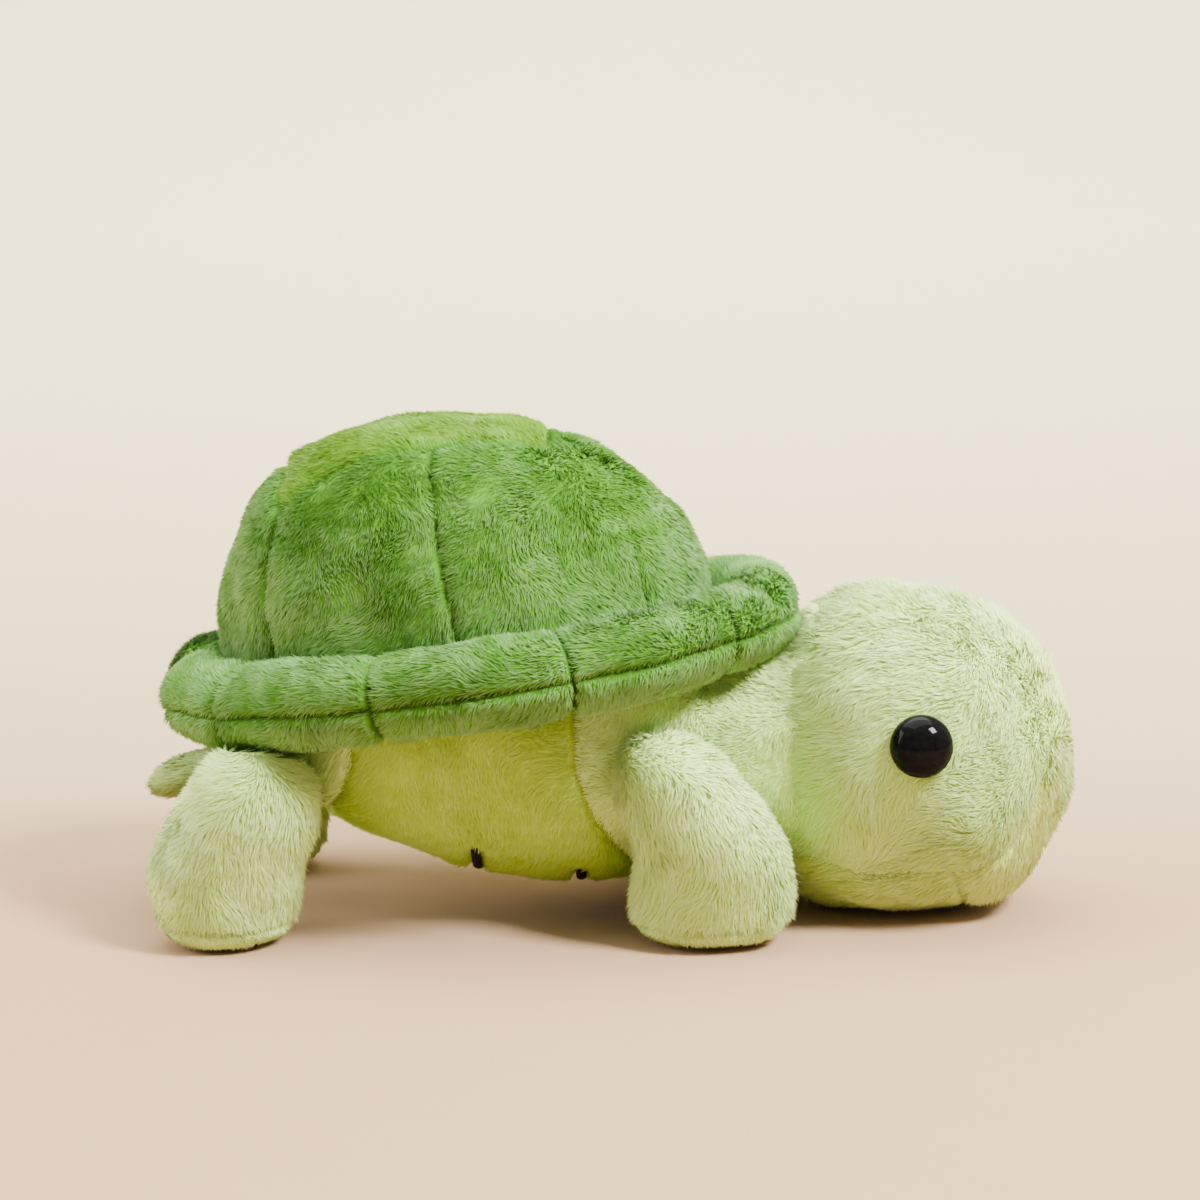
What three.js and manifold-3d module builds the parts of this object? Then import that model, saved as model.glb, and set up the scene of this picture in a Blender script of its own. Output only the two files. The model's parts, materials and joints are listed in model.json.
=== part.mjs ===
// A stuffed toy turtle, in millimetres. +X points to the head, +Z is up, and the soles and the
// chin rest on z = 0. Each fabric panel is a thick patch over a stuffing that fills it.
import * as THREE from 'three';
import { mergeVertices } from 'three/addons/utils/BufferGeometryUtils.js';
import Module from 'manifold-3d';

const wasm = await Module();
wasm.setup();

// Fabric, seams and clearances
const SKIN = 2.4;
const SEAM_GAP = 0.5;
const FILL_GAP = 0.4;
const LOOSE_FILL_GAP = 1.7;
const ROLL_FILL_GAP = 0.9;
const MOVE_GAP = 0.7;
const FLAT_DEPTH = 0.5;
const OVERRUN = 20;

// Shell: the rim's plane is raised at the head end
const RIM_X = -34;
const RIM_Z = 68.4;
const RIM_TILT_DEGREES = 8.45;
const ROLL_HALF_LENGTH = 73.6;
const ROLL_HALF_WIDTH = 59.5;
const ROLL_RADIUS = 12.2;
const ROLL_LENGTHS = 10;
const ROLL_SEAM_DEGREES = -5;
const ROLL_TOP_END_DEGREES = 142;
const ROLL_UNDER_END_DEGREES = -150;
const DOME_X = -37;
const DOME_HALF_LENGTH = 67.3;
const DOME_HALF_WIDTH = 54;
const DOME_HEIGHT = 62.6;
const DOME_PUFF = 1.4;
const DOME_FRONT_POWER = 2.2;
const DOME_REAR_POWER = 2.6;
const BASE_PANEL = 1.6;
// Where the dome's side seams start round its foot, from the head end towards the left side
const DOME_SEAM_DEGREES = [42, 90.7, 138.5, 221.5, 269.3, 318];
// The top panel's corners on the same seams, as shares of the dome's half length and half width
const TOP_CORNER_SHARES = [
  [0.334, 0.296],
  [-0.119, 0.474],
  [-0.72, 0.467],
  [-0.72, -0.467],
  [-0.119, -0.474],
  [0.334, -0.296],
];

// Torso
const TORSO_REAR_INSET = 6.6;
const TORSO_FRONT_INSET = 0.6;
const TORSO_REAR_X = RIM_X - ROLL_HALF_LENGTH + TORSO_REAR_INSET;
const TORSO_FRONT_X = RIM_X + ROLL_HALF_LENGTH - TORSO_FRONT_INSET;
const TORSO_HALF_WIDTH = 44;
const TORSO_DEPTH = 44.5;
const TORSO_WAIST_Z = 50;
const TORSO_POWER = 2.2;
const TORSO_SKIN_DEGREES = 128;
// How far the belly panel's ends are from the torso's ends, at its sides and underneath
const BELLY_REAR_SIDE_INSET = 35;
const BELLY_REAR_LOW_INSET = 23;
const BELLY_FRONT_SIDE_INSET = 48;
const BELLY_FRONT_LOW_INSET = 25;
const LINE_WIDTH = 2;
const LINE_THICKNESS = 1;
const LINE_SINK = 0.2;
const REAR_LINE_SETBACK = 1;
const REAR_LINE_X = RIM_X - REAR_LINE_SETBACK;
const REAR_LINE_DEGREES = 43;
const FRONT_LINE_ADVANCE = 26.2;
const FRONT_LINE_X = RIM_X + FRONT_LINE_ADVANCE;
const FRONT_LINE_DEGREES = 29;
// Along the torso from its rear end: shares of its length, then of its half width, of its depth
// upwards and downwards, and of the drop of the waist
const TORSO_SHARES = [
  [0, 0, 0, 0, 0.16],
  [0.03, 0.3, 0.2, 0.16, 0.14],
  [0.08, 0.5, 0.4, 0.28, 0.1],
  [0.15, 0.72, 0.5, 0.45, 0.06],
  [0.22, 0.86, 0.55, 0.6, 0.02],
  [0.33, 0.96, 0.6, 0.77, 0],
  [0.45, 1, 0.6, 0.89, 0],
  [0.58, 1, 0.6, 0.965, 0],
  [0.69, 0.97, 0.6, 0.975, 0],
  [0.78, 0.93, 0.55, 0.95, 0],
  [0.865, 0.86, 0.5, 0.84, 0.01],
  [0.935, 0.74, 0.42, 0.66, 0.02],
  [0.98, 0.5, 0.28, 0.42, 0.03],
  [1, 0, 0, 0, 0.04],
];

// Head
const HEAD_ADVANCE = 37;
const HEAD_X = TORSO_FRONT_X + HEAD_ADVANCE;
const HEAD_Z = 42.6;
const HEAD_HALF_LENGTH = 45.6;
const HEAD_HALF_WIDTH = 47;
const HEAD_HALF_HEIGHT = 43.1;
const HEAD_TOP_POWER = 2.1;
const HEAD_LOW_POWER = 2.45;
const HEAD_SIDE_POWER = 2.1;
// How far the head's gusset reaches to each side, as angles: at the crown, nose, chin and neck
const GUSSET_CROWN_DEGREES = 22;
const GUSSET_NOSE_DEGREES = 38;
const GUSSET_CHIN_DEGREES = 50;
const GUSSET_NECK_DEGREES = 38;
const GUSSET_BACK_TURN_DEGREES = 144;
const CHIN_SEAM_TURN_DEGREES = -72;
const THROAT_TURN_DEGREES = -144;
const NECK_SETBACK = 19;
const NECK_X = TORSO_FRONT_X - NECK_SETBACK;
const NECK_Z = 45;
const HEAD_SWEEP_DEGREES = [-10, -5, 0, 8];

// Safety eyes and their washers
const EYE_ADVANCE = 1.3;
const EYE_RISE = 7.9;
const EYE_X = HEAD_X + EYE_ADVANCE;
const EYE_Z = HEAD_Z + EYE_RISE;
const EYE_RADIUS = 8;
const EYE_DOME = 5.4;
const EYE_RIM = 1;
const SHANK_RADIUS = 2;
const SHANK_LENGTH = 12;
const WASHER_RADIUS = 8;
const WASHER_THICKNESS = 1.6;
const WASHER_SEAT = 4.2;
const SHANK_GAP = 0.3;

// Legs: the sole's centre, the sizes of the foot and the root about which the leg swings
const FRONT_FOOT_SETBACK = 13.3;
const FRONT_ROOT_SETBACK = 25;
const REAR_FOOT_ADVANCE = 3.4;
const REAR_ROOT_ADVANCE = 13;
const FRONT_LEG = {
  x: TORSO_FRONT_X - FRONT_FOOT_SETBACK, y: TORSO_HALF_WIDTH, height: 56, halfLength: 21, halfWidth: 18,
  rootX: TORSO_FRONT_X - FRONT_ROOT_SETBACK, rootZ: 42,
  swing: [-5, 16],
};
const REAR_LEG = {
  x: TORSO_REAR_X + REAR_FOOT_ADVANCE, y: TORSO_HALF_WIDTH, height: 53, halfLength: 19.5, halfWidth: 18,
  rootX: TORSO_REAR_X + REAR_ROOT_ADVANCE, rootZ: 38,
  swing: [-14, 14],
};
const SOLE_EDGE = 6;
// Down a leg: shares of its height, of its half length and half width, and of its shift back
const FRONT_LEG_SHARES = [
  [1, 0, 0, 0.62],
  [0.975, 0.34, 0.36, 0.62],
  [0.9, 0.6, 0.62, 0.56],
  [0.78, 0.8, 0.84, 0.42],
  [0.6, 0.98, 0.97, 0.25],
  [0.4, 0.99, 1, 0.04],
  [0.2, 1, 1, 0],
];
const REAR_LEG_SHARES = [
  [1, 0, 0, -0.4],
  [0.975, 0.36, 0.34, -0.4],
  [0.9, 0.66, 0.6, -0.4],
  [0.78, 0.91, 0.82, -0.42],
  [0.6, 1.02, 0.96, -0.29],
  [0.42, 1, 1, -0.06],
  [0.2, 1, 1, 0],
];
// The foot below the sole's seam: shares of the seam's height, then of the foot's two sizes
const SOLE_SHARES = [
  [1, 0.99, 0.99],
  [0.45, 0.91, 0.9],
  [0.1, 0.77, 0.76],
  [0, 0.62, 0.6],
  [0, 0, 0],
];

// Tail
const TAIL_ROOT_ADVANCE = 1;
const TAIL_ROOT_X = TORSO_REAR_X + TAIL_ROOT_ADVANCE;
const TAIL_ROOT_Z = 38;
const TAIL_LENGTH = 21.6;
const TAIL_DROP_DEGREES = 16;
const TAIL_HALF_HEIGHT = 6.6;
const TAIL_HALF_WIDTH = 11;
const TAIL_POWER = 2.6;
const TAIL_SWEEP_DEGREES = [-12, 0, 12];

// How finely the forms are divided
const ROLL_STEPS_PER_LENGTH = 3;
const ROLL_UPPER_STEPS = 5;
const ROLL_LOWER_STEPS = 4;
const ROUND_STEPS = 10;
const HULL_STEPS = 8;
const FILL_STEPS = 10;
const DOME_ACROSS_STEPS = 4;
const DOME_STEPS = 5;
const TORSO_STEPS = 12;
const HEAD_STEPS = 20;
const HEAD_RINGS = 4;
const LEG_STEPS = 12;
const EYE_STEPS = 16;
const EYE_RINGS = 4;
const TAIL_ROUND_STEPS = 12;
const TAIL_LONG_STEPS = 10;
const INSET_MOST_SHARE = 0.2;
const MERGE = 1e-4;
const DIFFERENCE = 1e-3;
const TIP_AREA = 1e-9;

const FINISH = {
  shell: { color: 0x6ea546, roughness: 0.95, metalness: 0 },
  shellTop: { color: 0x86b856, roughness: 0.95, metalness: 0 },
  belly: { color: 0xbdb94b, roughness: 0.95, metalness: 0 },
  pale: { color: 0xd2e1a5, roughness: 0.95, metalness: 0 },
  face: { color: 0xdcde82, roughness: 0.95, metalness: 0 },
  tail: { color: 0x96a564, roughness: 0.95, metalness: 0 },
  thread: { color: 0x141414, roughness: 0.6, metalness: 0 },
  stuffing: { color: 0xf4f2ec, roughness: 1, metalness: 0 },
  eye: { color: 0x050505, roughness: 0.08, metalness: 0 },
  washer: { color: 0xe8e6df, roughness: 0.5, metalness: 0 },
};

const radians = THREE.MathUtils.degToRad;
const mix = THREE.MathUtils.lerp;
const LEFT = 1;
const RIGHT = -1;

// A power of a signed value, which keeps its sign
function signedPower(value, power) {
  return Math.sign(value) * Math.abs(value) ** power;
}

// Solids

function toSolid(geometry) {
  const bare = geometry.index ? geometry.toNonIndexed() : geometry.clone();
  bare.deleteAttribute('normal');
  bare.deleteAttribute('uv');
  const merged = mergeVertices(bare, MERGE);
  const corners = merged.index.array;
  const kept = [];
  for (let i = 0; i < corners.length; i += 3) {
    const [a, b, c] = [corners[i], corners[i + 1], corners[i + 2]];
    if (a !== b && b !== c && c !== a) kept.push(a, b, c);
  }
  return new wasm.Manifold(new wasm.Mesh({
    numProp: 3,
    vertProperties: new Float32Array(merged.attributes.position.array),
    triVerts: new Uint32Array(kept),
  }));
}

function toGeometry(solid) {
  const mesh = solid.getMesh();
  const geometry = new THREE.BufferGeometry();
  geometry.setAttribute('position', new THREE.BufferAttribute(mesh.vertProperties, 3));
  geometry.setIndex(new THREE.BufferAttribute(mesh.triVerts, 1));
  return geometry;
}

// The largest body of a cut solid, without the crumbs that a cut can leave beside it
function mainBody(solid) {
  const bodies = solid.decompose();
  return bodies.reduce((best, body) => (body.volume() > best.volume() ? body : best));
}

function cut(solid, ...cutters) {
  return mainBody(cutters.reduce((rest, cutter) => rest.subtract(cutter), solid));
}

function geometryOf(triangles) {
  const geometry = new THREE.BufferGeometry();
  const points = triangles.flat();
  geometry.setAttribute('position', new THREE.Float32BufferAttribute(
    points.flatMap((point) => point.toArray()), 3));
  return geometry;
}

function signedVolume(triangles) {
  return triangles.reduce((sum, [a, b, c]) => sum + a.dot(b.clone().cross(c)), 0);
}

function facingOut(triangles) {
  if (signedVolume(triangles) > 0) return triangles;
  return triangles.map(([a, b, c]) => [a, c, b]);
}

// Rows of points across a surface, and the two triangles of each of their cells
function pointRows(pointAt, across, along, depth) {
  return Array.from({ length: along + 1 }, (_, j) => Array.from(
    { length: across + 1 }, (__, i) => pointAt(i / across, j / along, depth)));
}

function cells(rows) {
  const triangles = [];
  for (let j = 1; j < rows.length; j += 1) {
    for (let i = 1; i < rows[j].length; i += 1) {
      const [a, b] = [rows[j - 1][i - 1], rows[j - 1][i]];
      const [c, d] = [rows[j][i], rows[j][i - 1]];
      triangles.push([a, b, c], [a, c, d]);
    }
  }
  return triangles;
}

function flipped(triangles) {
  return triangles.map(([a, b, c]) => [a, c, b]);
}

// Draws a surface in at its open edges, so that two panels leave a seam's gap between them
function drawnIn(pointAt, edges) {
  const half = SEAM_GAP / 2;
  const share = (from, to) => Math.min(INSET_MOST_SHARE, half / Math.max(from.distanceTo(to), half));
  return (u, v, depth) => {
    const side = edges.wraps ? 0 : share(pointAt(0, v, depth), pointAt(1, v, depth));
    const end = share(pointAt(u, 0, depth), pointAt(u, 1, depth));
    const first = edges.tipFirst ? 0 : end;
    const last = edges.tipLast ? 1 : 1 - end;
    return pointAt(mix(side, 1 - side, u), mix(first, last, v), depth);
  };
}

// A fabric panel: the surface pointAt(u, v, depth) from its face down to the skin's thickness.
// It wraps where u closes on itself, and has a tip where v starts or ends in one point.
function panel(pointAt, across, along, edges = {}) {
  const drawn = drawnIn(pointAt, edges);
  const face = pointRows(drawn, across, along, 0);
  const back = pointRows(drawn, across, along, SKIN);
  const column = (rows, i) => rows.map((row) => row[i]);
  const triangles = [...cells(face), ...flipped(cells(back))];
  if (!edges.wraps) {
    triangles.push(...cells([column(face, 0), column(back, 0)]));
    triangles.push(...cells([column(back, across), column(face, across)]));
  }
  if (!edges.tipFirst) triangles.push(...cells([back[0], face[0]]));
  if (!edges.tipLast) triangles.push(...cells([face[along], back[along]]));
  return toSolid(geometryOf(facingOut(triangles)));
}

// A closed form that wraps round and ends in a tip at both ends
function closedForm(pointAt, around, along, depth) {
  return geometryOf(facingOut(cells(pointRows(pointAt, around, along, depth))));
}

function turnedAbout(geometry, pivotX, pivotZ, degrees) {
  return geometry.clone().translate(-pivotX, 0, -pivotZ).rotateY(radians(degrees))
    .translate(pivotX, 0, pivotZ);
}

// What a fixed form takes out of a part that swings about a pivot, over its whole range
function swept(geometry, pivotX, pivotZ, angles) {
  return angles.map((angle) => toSolid(turnedAbout(geometry, pivotX, pivotZ, -angle)));
}

// A block far larger than the toy, with its underside at a height of a frame
const SLAB = 4 * (ROLL_HALF_LENGTH + ROLL_RADIUS + OVERRUN);

function slab(minZ, frame) {
  const box = new THREE.BoxGeometry(SLAB, SLAB, SLAB).translate(0, 0, minZ + SLAB / 2);
  return toSolid(box.applyMatrix4(frame));
}

// A point of a surface, moved inwards by a depth, square to the surface. The core is a point
// well inside the form, and the way in at a tip.
function sunk(surface, a, b, depth, core) {
  const here = surface(a, b);
  const alongA = surface(a + DIFFERENCE, b).sub(surface(a - DIFFERENCE, b));
  const alongB = surface(a, b + DIFFERENCE).sub(surface(a, b - DIFFERENCE));
  const toCore = core.clone().sub(here);
  const inwards = alongA.cross(alongB);
  if (inwards.length() < TIP_AREA) return here.addScaledVector(toCore.normalize(), depth);
  return here.addScaledVector(inwards.normalize(), Math.sign(inwards.dot(toCore)) * depth);
}

// The groups: each moving part hangs in a group at the point about which it moves

const turtle = new THREE.Group();

function groupAt(x, y, z) {
  const group = new THREE.Group();
  group.position.set(x, y, z);
  turtle.add(group);
  group.updateMatrixWorld(true);
  return group;
}

// Adds a piece made in the turtle's frame to a group, in the group's own frame
function addPiece(group, name, solid, finish) {
  const geometry = toGeometry(solid).applyMatrix4(group.matrixWorld.clone().invert());
  geometry.computeVertexNormals();
  const mesh = new THREE.Mesh(geometry, new THREE.MeshStandardMaterial(finish));
  mesh.name = name;
  group.add(mesh);
}

const body = groupAt(0, 0, 0);
const shell = groupAt(RIM_X, 0, RIM_Z);
shell.rotation.y = -radians(RIM_TILT_DEGREES);
shell.updateMatrixWorld(true);
const head = groupAt(NECK_X, 0, NECK_Z);
const tail = groupAt(TAIL_ROOT_X, 0, TAIL_ROOT_Z);
const shellFrame = shell.matrixWorld;
const worldFrame = new THREE.Matrix4();
const floor = slab(-SLAB, worldFrame);

// Brim

function rollPoint(around, section, depth) {
  const middle = new THREE.Vector2(
    ROLL_HALF_LENGTH * Math.cos(around), ROLL_HALF_WIDTH * Math.sin(around));
  const out = new THREE.Vector2(
    Math.cos(around) / ROLL_HALF_LENGTH, Math.sin(around) / ROLL_HALF_WIDTH).normalize();
  const radius = ROLL_RADIUS - depth;
  middle.addScaledVector(out, radius * Math.cos(section));
  return new THREE.Vector3(middle.x, middle.y, radius * Math.sin(section))
    .applyMatrix4(shellFrame);
}

function rollStrip(first, last, fromDegrees, toDegrees, steps) {
  const pointAt = (u, v, depth) => rollPoint(
    mix(first, last, u), radians(mix(fromDegrees, toDegrees, v)), depth);
  return panel(pointAt, ROLL_STEPS_PER_LENGTH, steps);
}

// The whole roll as a ring, smaller by the depth, or larger where the depth is negative
function rollRing(depth, steps = ROUND_STEPS) {
  const rows = pointRows(
    (u, v) => rollPoint(v * 2 * Math.PI, u * 2 * Math.PI, depth),
    steps, ROLL_LENGTHS * ROLL_STEPS_PER_LENGTH, depth);
  return geometryOf(facingOut(cells(rows)));
}

// A ring with few flat sides that holds the roll and the clearance round it
function rollHull() {
  const around = (ROLL_RADIUS + MOVE_GAP) / Math.cos(Math.PI / HULL_STEPS);
  return rollRing(ROLL_RADIUS - around, HULL_STEPS);
}

function addBrim() {
  for (let i = 0; i < ROLL_LENGTHS; i += 1) {
    const first = radians(i * (360 / ROLL_LENGTHS));
    const last = radians((i + 1) * (360 / ROLL_LENGTHS));
    const upper = rollStrip(first, last, ROLL_SEAM_DEGREES, ROLL_TOP_END_DEGREES, ROLL_UPPER_STEPS);
    const lower = rollStrip(first, last, ROLL_UNDER_END_DEGREES, ROLL_SEAM_DEGREES, ROLL_LOWER_STEPS);
    addPiece(shell, `brim_upper_${i + 1}`, upper, FINISH.shell);
    addPiece(shell, `brim_lower_${i + 1}`, lower, FINISH.shell);
  }
  addPiece(shell, 'brim_stuffing', toSolid(rollRing(SKIN + ROLL_FILL_GAP)),
    FINISH.stuffing);
}

// Dome

const tiltSlope = Math.tan(radians(RIM_TILT_DEGREES));
const DOME_Z = RIM_Z + (DOME_X - RIM_X) * tiltSlope;

// The dome is fuller towards the rear
function domePower(around) {
  return mix(DOME_REAR_POWER, DOME_FRONT_POWER, (1 + Math.cos(around)) / 2);
}

function domePoint(around, rise, depth) {
  const power = domePower(around);
  const reach = Math.max(Math.cos(rise), 0) ** (2 / power);
  const lift = signedPower(Math.sin(rise), 2 / power);
  return new THREE.Vector3(
    DOME_X + (DOME_HALF_LENGTH - depth) * reach * Math.cos(around),
    (DOME_HALF_WIDTH - depth) * reach * Math.sin(around),
    DOME_Z + (DOME_HEIGHT - depth) * lift);
}

// The rise at which the dome stands on the roll
function footRise(around) {
  const inward = Math.min(ROLL_HALF_LENGTH - DOME_HALF_LENGTH, ROLL_HALF_WIDTH - DOME_HALF_WIDTH);
  const onRoll = Math.sqrt((ROLL_RADIUS + MOVE_GAP) ** 2 - inward ** 2);
  const height = onRoll / Math.cos(radians(RIM_TILT_DEGREES))
    + DOME_HALF_LENGTH * Math.cos(around) * tiltSlope;
  return Math.asin(signedPower(height / DOME_HEIGHT, domePower(around) / 2));
}

// A corner of the top panel in the dome's own angles
function topCorner([lengthShare, widthShare], near) {
  const reach = Math.hypot(lengthShare, widthShare);
  const turn = Math.atan2(widthShare, lengthShare);
  const turns = Math.round((near - turn) / (2 * Math.PI));
  return { around: turn + turns * 2 * Math.PI, rise: Math.acos(reach ** (domePower(turn) / 2)) };
}

function topEdge(index, share, near) {
  const [a, b] = [TOP_CORNER_SHARES[index], TOP_CORNER_SHARES[(index + 1) % TOP_CORNER_SHARES.length]];
  return topCorner([mix(a[0], b[0], share), mix(a[1], b[1], share)], near);
}

function domeSidePoint(index, u, v, depth) {
  const start = DOME_SEAM_DEGREES[index];
  const next = DOME_SEAM_DEGREES[(index + 1) % DOME_SEAM_DEGREES.length];
  const end = next > start ? next : next + 360;
  const around = radians(mix(start, end, u));
  const top = topEdge(index, u, around);
  const puff = DOME_PUFF * Math.sin(Math.PI * u) * Math.sin(Math.PI * v);
  return domePoint(mix(around, top.around, v), mix(footRise(around), top.rise, v), depth - puff);
}

function domeTopPoint(u, v, depth) {
  const place = u * TOP_CORNER_SHARES.length;
  const index = Math.min(Math.floor(place), TOP_CORNER_SHARES.length - 1);
  const edge = topEdge(index, place - index, 0);
  const power = domePower(edge.around);
  const reach = Math.cos(edge.rise) ** (2 / power) * (1 - v);
  return domePoint(edge.around, Math.acos(reach ** (power / 2)), depth - DOME_PUFF * v);
}

function addDome() {
  const names = ['left_front', 'left_rear', 'rear', 'right_rear', 'right_front', 'front'];
  names.forEach((name, index) => {
    const side = panel((u, v, depth) => domeSidePoint(index, u, v, depth),
      DOME_ACROSS_STEPS, DOME_STEPS);
    addPiece(shell, `shell_panel_${name}`, side, FINISH.shell);
  });
  const top = panel(domeTopPoint, DOME_ACROSS_STEPS * TOP_CORNER_SHARES.length, DOME_STEPS - 2,
    { wraps: true, tipLast: true });
  addPiece(shell, 'shell_panel_top', top, FINISH.shellTop);
}

function addShellInside() {
  const round = (u, v, depth) => domePoint(u * 2 * Math.PI, (v - 0.5) * Math.PI, depth);
  const form = closedForm(round, 2 * FILL_STEPS, FILL_STEPS, SKIN + LOOSE_FILL_GAP);
  const below = slab(BASE_PANEL / 2 + FILL_GAP - SLAB, shellFrame);
  addPiece(shell, 'shell_stuffing', cut(toSolid(form), below, toSolid(rollHull())),
    FINISH.stuffing);
  const disc = new THREE.CylinderGeometry(1, 1, BASE_PANEL, ROLL_LENGTHS * ROLL_STEPS_PER_LENGTH);
  disc.rotateX(Math.PI / 2).rotateZ(Math.PI / 2);
  disc.scale(ROLL_HALF_LENGTH - ROLL_RADIUS - MOVE_GAP, ROLL_HALF_WIDTH - ROLL_RADIUS - MOVE_GAP, 1);
  addPiece(shell, 'shell_base_panel', toSolid(disc.applyMatrix4(shellFrame)), FINISH.shell);
}

// Torso

const TORSO_LENGTH = TORSO_FRONT_X - TORSO_REAR_X;

function torsoRow(place) {
  const along = THREE.MathUtils.clamp(place, 0, 1);
  const after = Math.max(TORSO_SHARES.findIndex((row) => row[0] >= along), 1);
  const [low, high] = [TORSO_SHARES[after - 1], TORSO_SHARES[after]];
  const share = (along - low[0]) / (high[0] - low[0]);
  return low.map((value, i) => mix(value, high[i], share));
}

// The torso's surface at a share of its length, at an angle from straight down to the left
function torsoSurface(along, angle) {
  const [, width, up, down, drop] = torsoRow(along);
  const side = signedPower(Math.sin(angle), 2 / TORSO_POWER);
  const low = signedPower(Math.cos(angle), 2 / TORSO_POWER);
  return new THREE.Vector3(
    mix(TORSO_REAR_X, TORSO_FRONT_X, along),
    TORSO_HALF_WIDTH * width * side,
    TORSO_WAIST_Z - TORSO_DEPTH * (drop + (low > 0 ? down : up) * low));
}

const torsoCore = new THREE.Vector3(
  mix(TORSO_REAR_X, TORSO_FRONT_X, 0.5), 0, TORSO_WAIST_Z - TORSO_DEPTH * TORSO_SHARES[0][4]);

function torsoPoint(x, angle, depth) {
  const along = (x - TORSO_REAR_X) / TORSO_LENGTH;
  return sunk(torsoSurface, along, angle, depth, torsoCore);
}

function torsoForm(depth) {
  const stations = TORSO_SHARES.length - 1;
  const pointAt = (u, v) => torsoPoint(
    TORSO_REAR_X + TORSO_LENGTH * TORSO_SHARES[Math.round(v * stations)][0],
    u * 2 * Math.PI, depth);
  return closedForm(pointAt, TORSO_STEPS + 4, stations, depth);
}

// How far an angle of the torso is from straight down, 0 below and 1 at the waist
function sideShare(angle) {
  return THREE.MathUtils.smoothstep(Math.abs(angle), 0, Math.PI / 2);
}

function bellyRear(angle) {
  return TORSO_REAR_X + mix(BELLY_REAR_LOW_INSET, BELLY_REAR_SIDE_INSET, sideShare(angle));
}

function bellyFront(angle) {
  return TORSO_FRONT_X - mix(BELLY_FRONT_LOW_INSET, BELLY_FRONT_SIDE_INSET, sideShare(angle));
}

// The rows of a panel that ends in a tip lie closer together towards the tip
function rowShare(v, edges) {
  if (edges.tipFirst) return 1 - Math.cos(v * Math.PI / 2);
  return edges.tipLast ? Math.sin(v * Math.PI / 2) : v;
}

function torsoPanel(startAt, endAt, along, edges) {
  const reach = radians(TORSO_SKIN_DEGREES);
  const pointAt = (u, v, depth) => {
    const angle = mix(-reach, reach, u);
    return torsoPoint(mix(startAt(angle), endAt(angle), rowShare(v, edges)), angle, depth);
  };
  return panel(pointAt, TORSO_STEPS, along, edges);
}

// A band round the belly's underside, from one depth to another, for a line of satin stitches
function bellyBand(x, degrees, width, fromDepth, toDepth) {
  const reach = radians(degrees) + (width - LINE_WIDTH) / TORSO_HALF_WIDTH;
  const spread = width + SEAM_GAP;
  const pointAt = (u, v, depth) => torsoPoint(x + (v - 0.5) * spread, mix(-reach, reach, u),
    mix(fromDepth, toDepth, depth / SKIN));
  return panel(pointAt, TORSO_STEPS / 2, 1);
}

const underShell = slab(-BASE_PANEL / 2 - FILL_GAP, shellFrame);
const rollCutter = toSolid(rollRing(-FILL_GAP));

function addTorso() {
  const rear = torsoPanel(() => TORSO_REAR_X, bellyRear, DOME_STEPS, { tipFirst: true });
  const belly = torsoPanel(bellyRear, bellyFront, DOME_STEPS + 2, {});
  const chest = torsoPanel(bellyFront, () => TORSO_FRONT_X, DOME_STEPS + 1, { tipLast: true });
  addPiece(body, 'rump_panel', cut(rear, underShell, rollCutter), FINISH.pale);
  const lines = [
    ['belly_line_rear', REAR_LINE_X, REAR_LINE_DEGREES],
    ['belly_line_front', FRONT_LINE_X, FRONT_LINE_DEGREES],
  ];
  const grooves = lines.map(([, x, degrees]) => bellyBand(
    x, degrees, LINE_WIDTH + 2 * FILL_GAP, -OVERRUN, LINE_SINK + LINE_THICKNESS + FILL_GAP));
  addPiece(body, 'belly_panel', cut(belly, underShell, rollCutter, ...grooves), FINISH.belly);
  lines.forEach(([name, x, degrees]) => addPiece(body, name,
    bellyBand(x, degrees, LINE_WIDTH, LINE_SINK, LINE_SINK + LINE_THICKNESS), FINISH.thread));
  addPiece(body, 'chest_panel', cut(chest, underShell, rollCutter), FINISH.pale);
  const fill = toSolid(torsoForm(SKIN + LOOSE_FILL_GAP));
  addPiece(body, 'body_stuffing', cut(fill, underShell, rollCutter), FINISH.stuffing);
}

// Head

function headSurface(turn, side) {
  const power = Math.sin(turn) < 0 ? HEAD_LOW_POWER : HEAD_TOP_POWER;
  const reach = Math.max(Math.cos(side), 0) ** (2 / HEAD_SIDE_POWER);
  return new THREE.Vector3(
    HEAD_X + HEAD_HALF_LENGTH * reach * signedPower(Math.cos(turn), 2 / power),
    HEAD_HALF_WIDTH * signedPower(Math.sin(side), 2 / HEAD_SIDE_POWER),
    HEAD_Z + HEAD_HALF_HEIGHT * reach * signedPower(Math.sin(turn), 2 / power));
}

const headCore = new THREE.Vector3(HEAD_X, 0, HEAD_Z);

function headPoint(turn, side, depth) {
  return sunk(headSurface, turn, side, depth, headCore);
}

// How far the gusset reaches to the side, at a turn from the nose up over the crown
function gussetSide(turn) {
  const quarters = Math.abs(turn) / (Math.PI / 2);
  const middle = turn > 0 ? GUSSET_CROWN_DEGREES : GUSSET_CHIN_DEGREES;
  if (quarters < 1) return radians(mix(GUSSET_NOSE_DEGREES, middle, quarters));
  return radians(mix(middle, GUSSET_NECK_DEGREES, quarters - 1));
}

function headSide(hand) {
  const pointAt = (u, v, depth) => {
    const turn = mix(-Math.PI, Math.PI, u);
    return headPoint(turn, hand * mix(gussetSide(turn), Math.PI / 2, v), depth);
  };
  return panel(pointAt, HEAD_STEPS, HEAD_RINGS, { wraps: true, tipLast: true });
}

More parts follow.
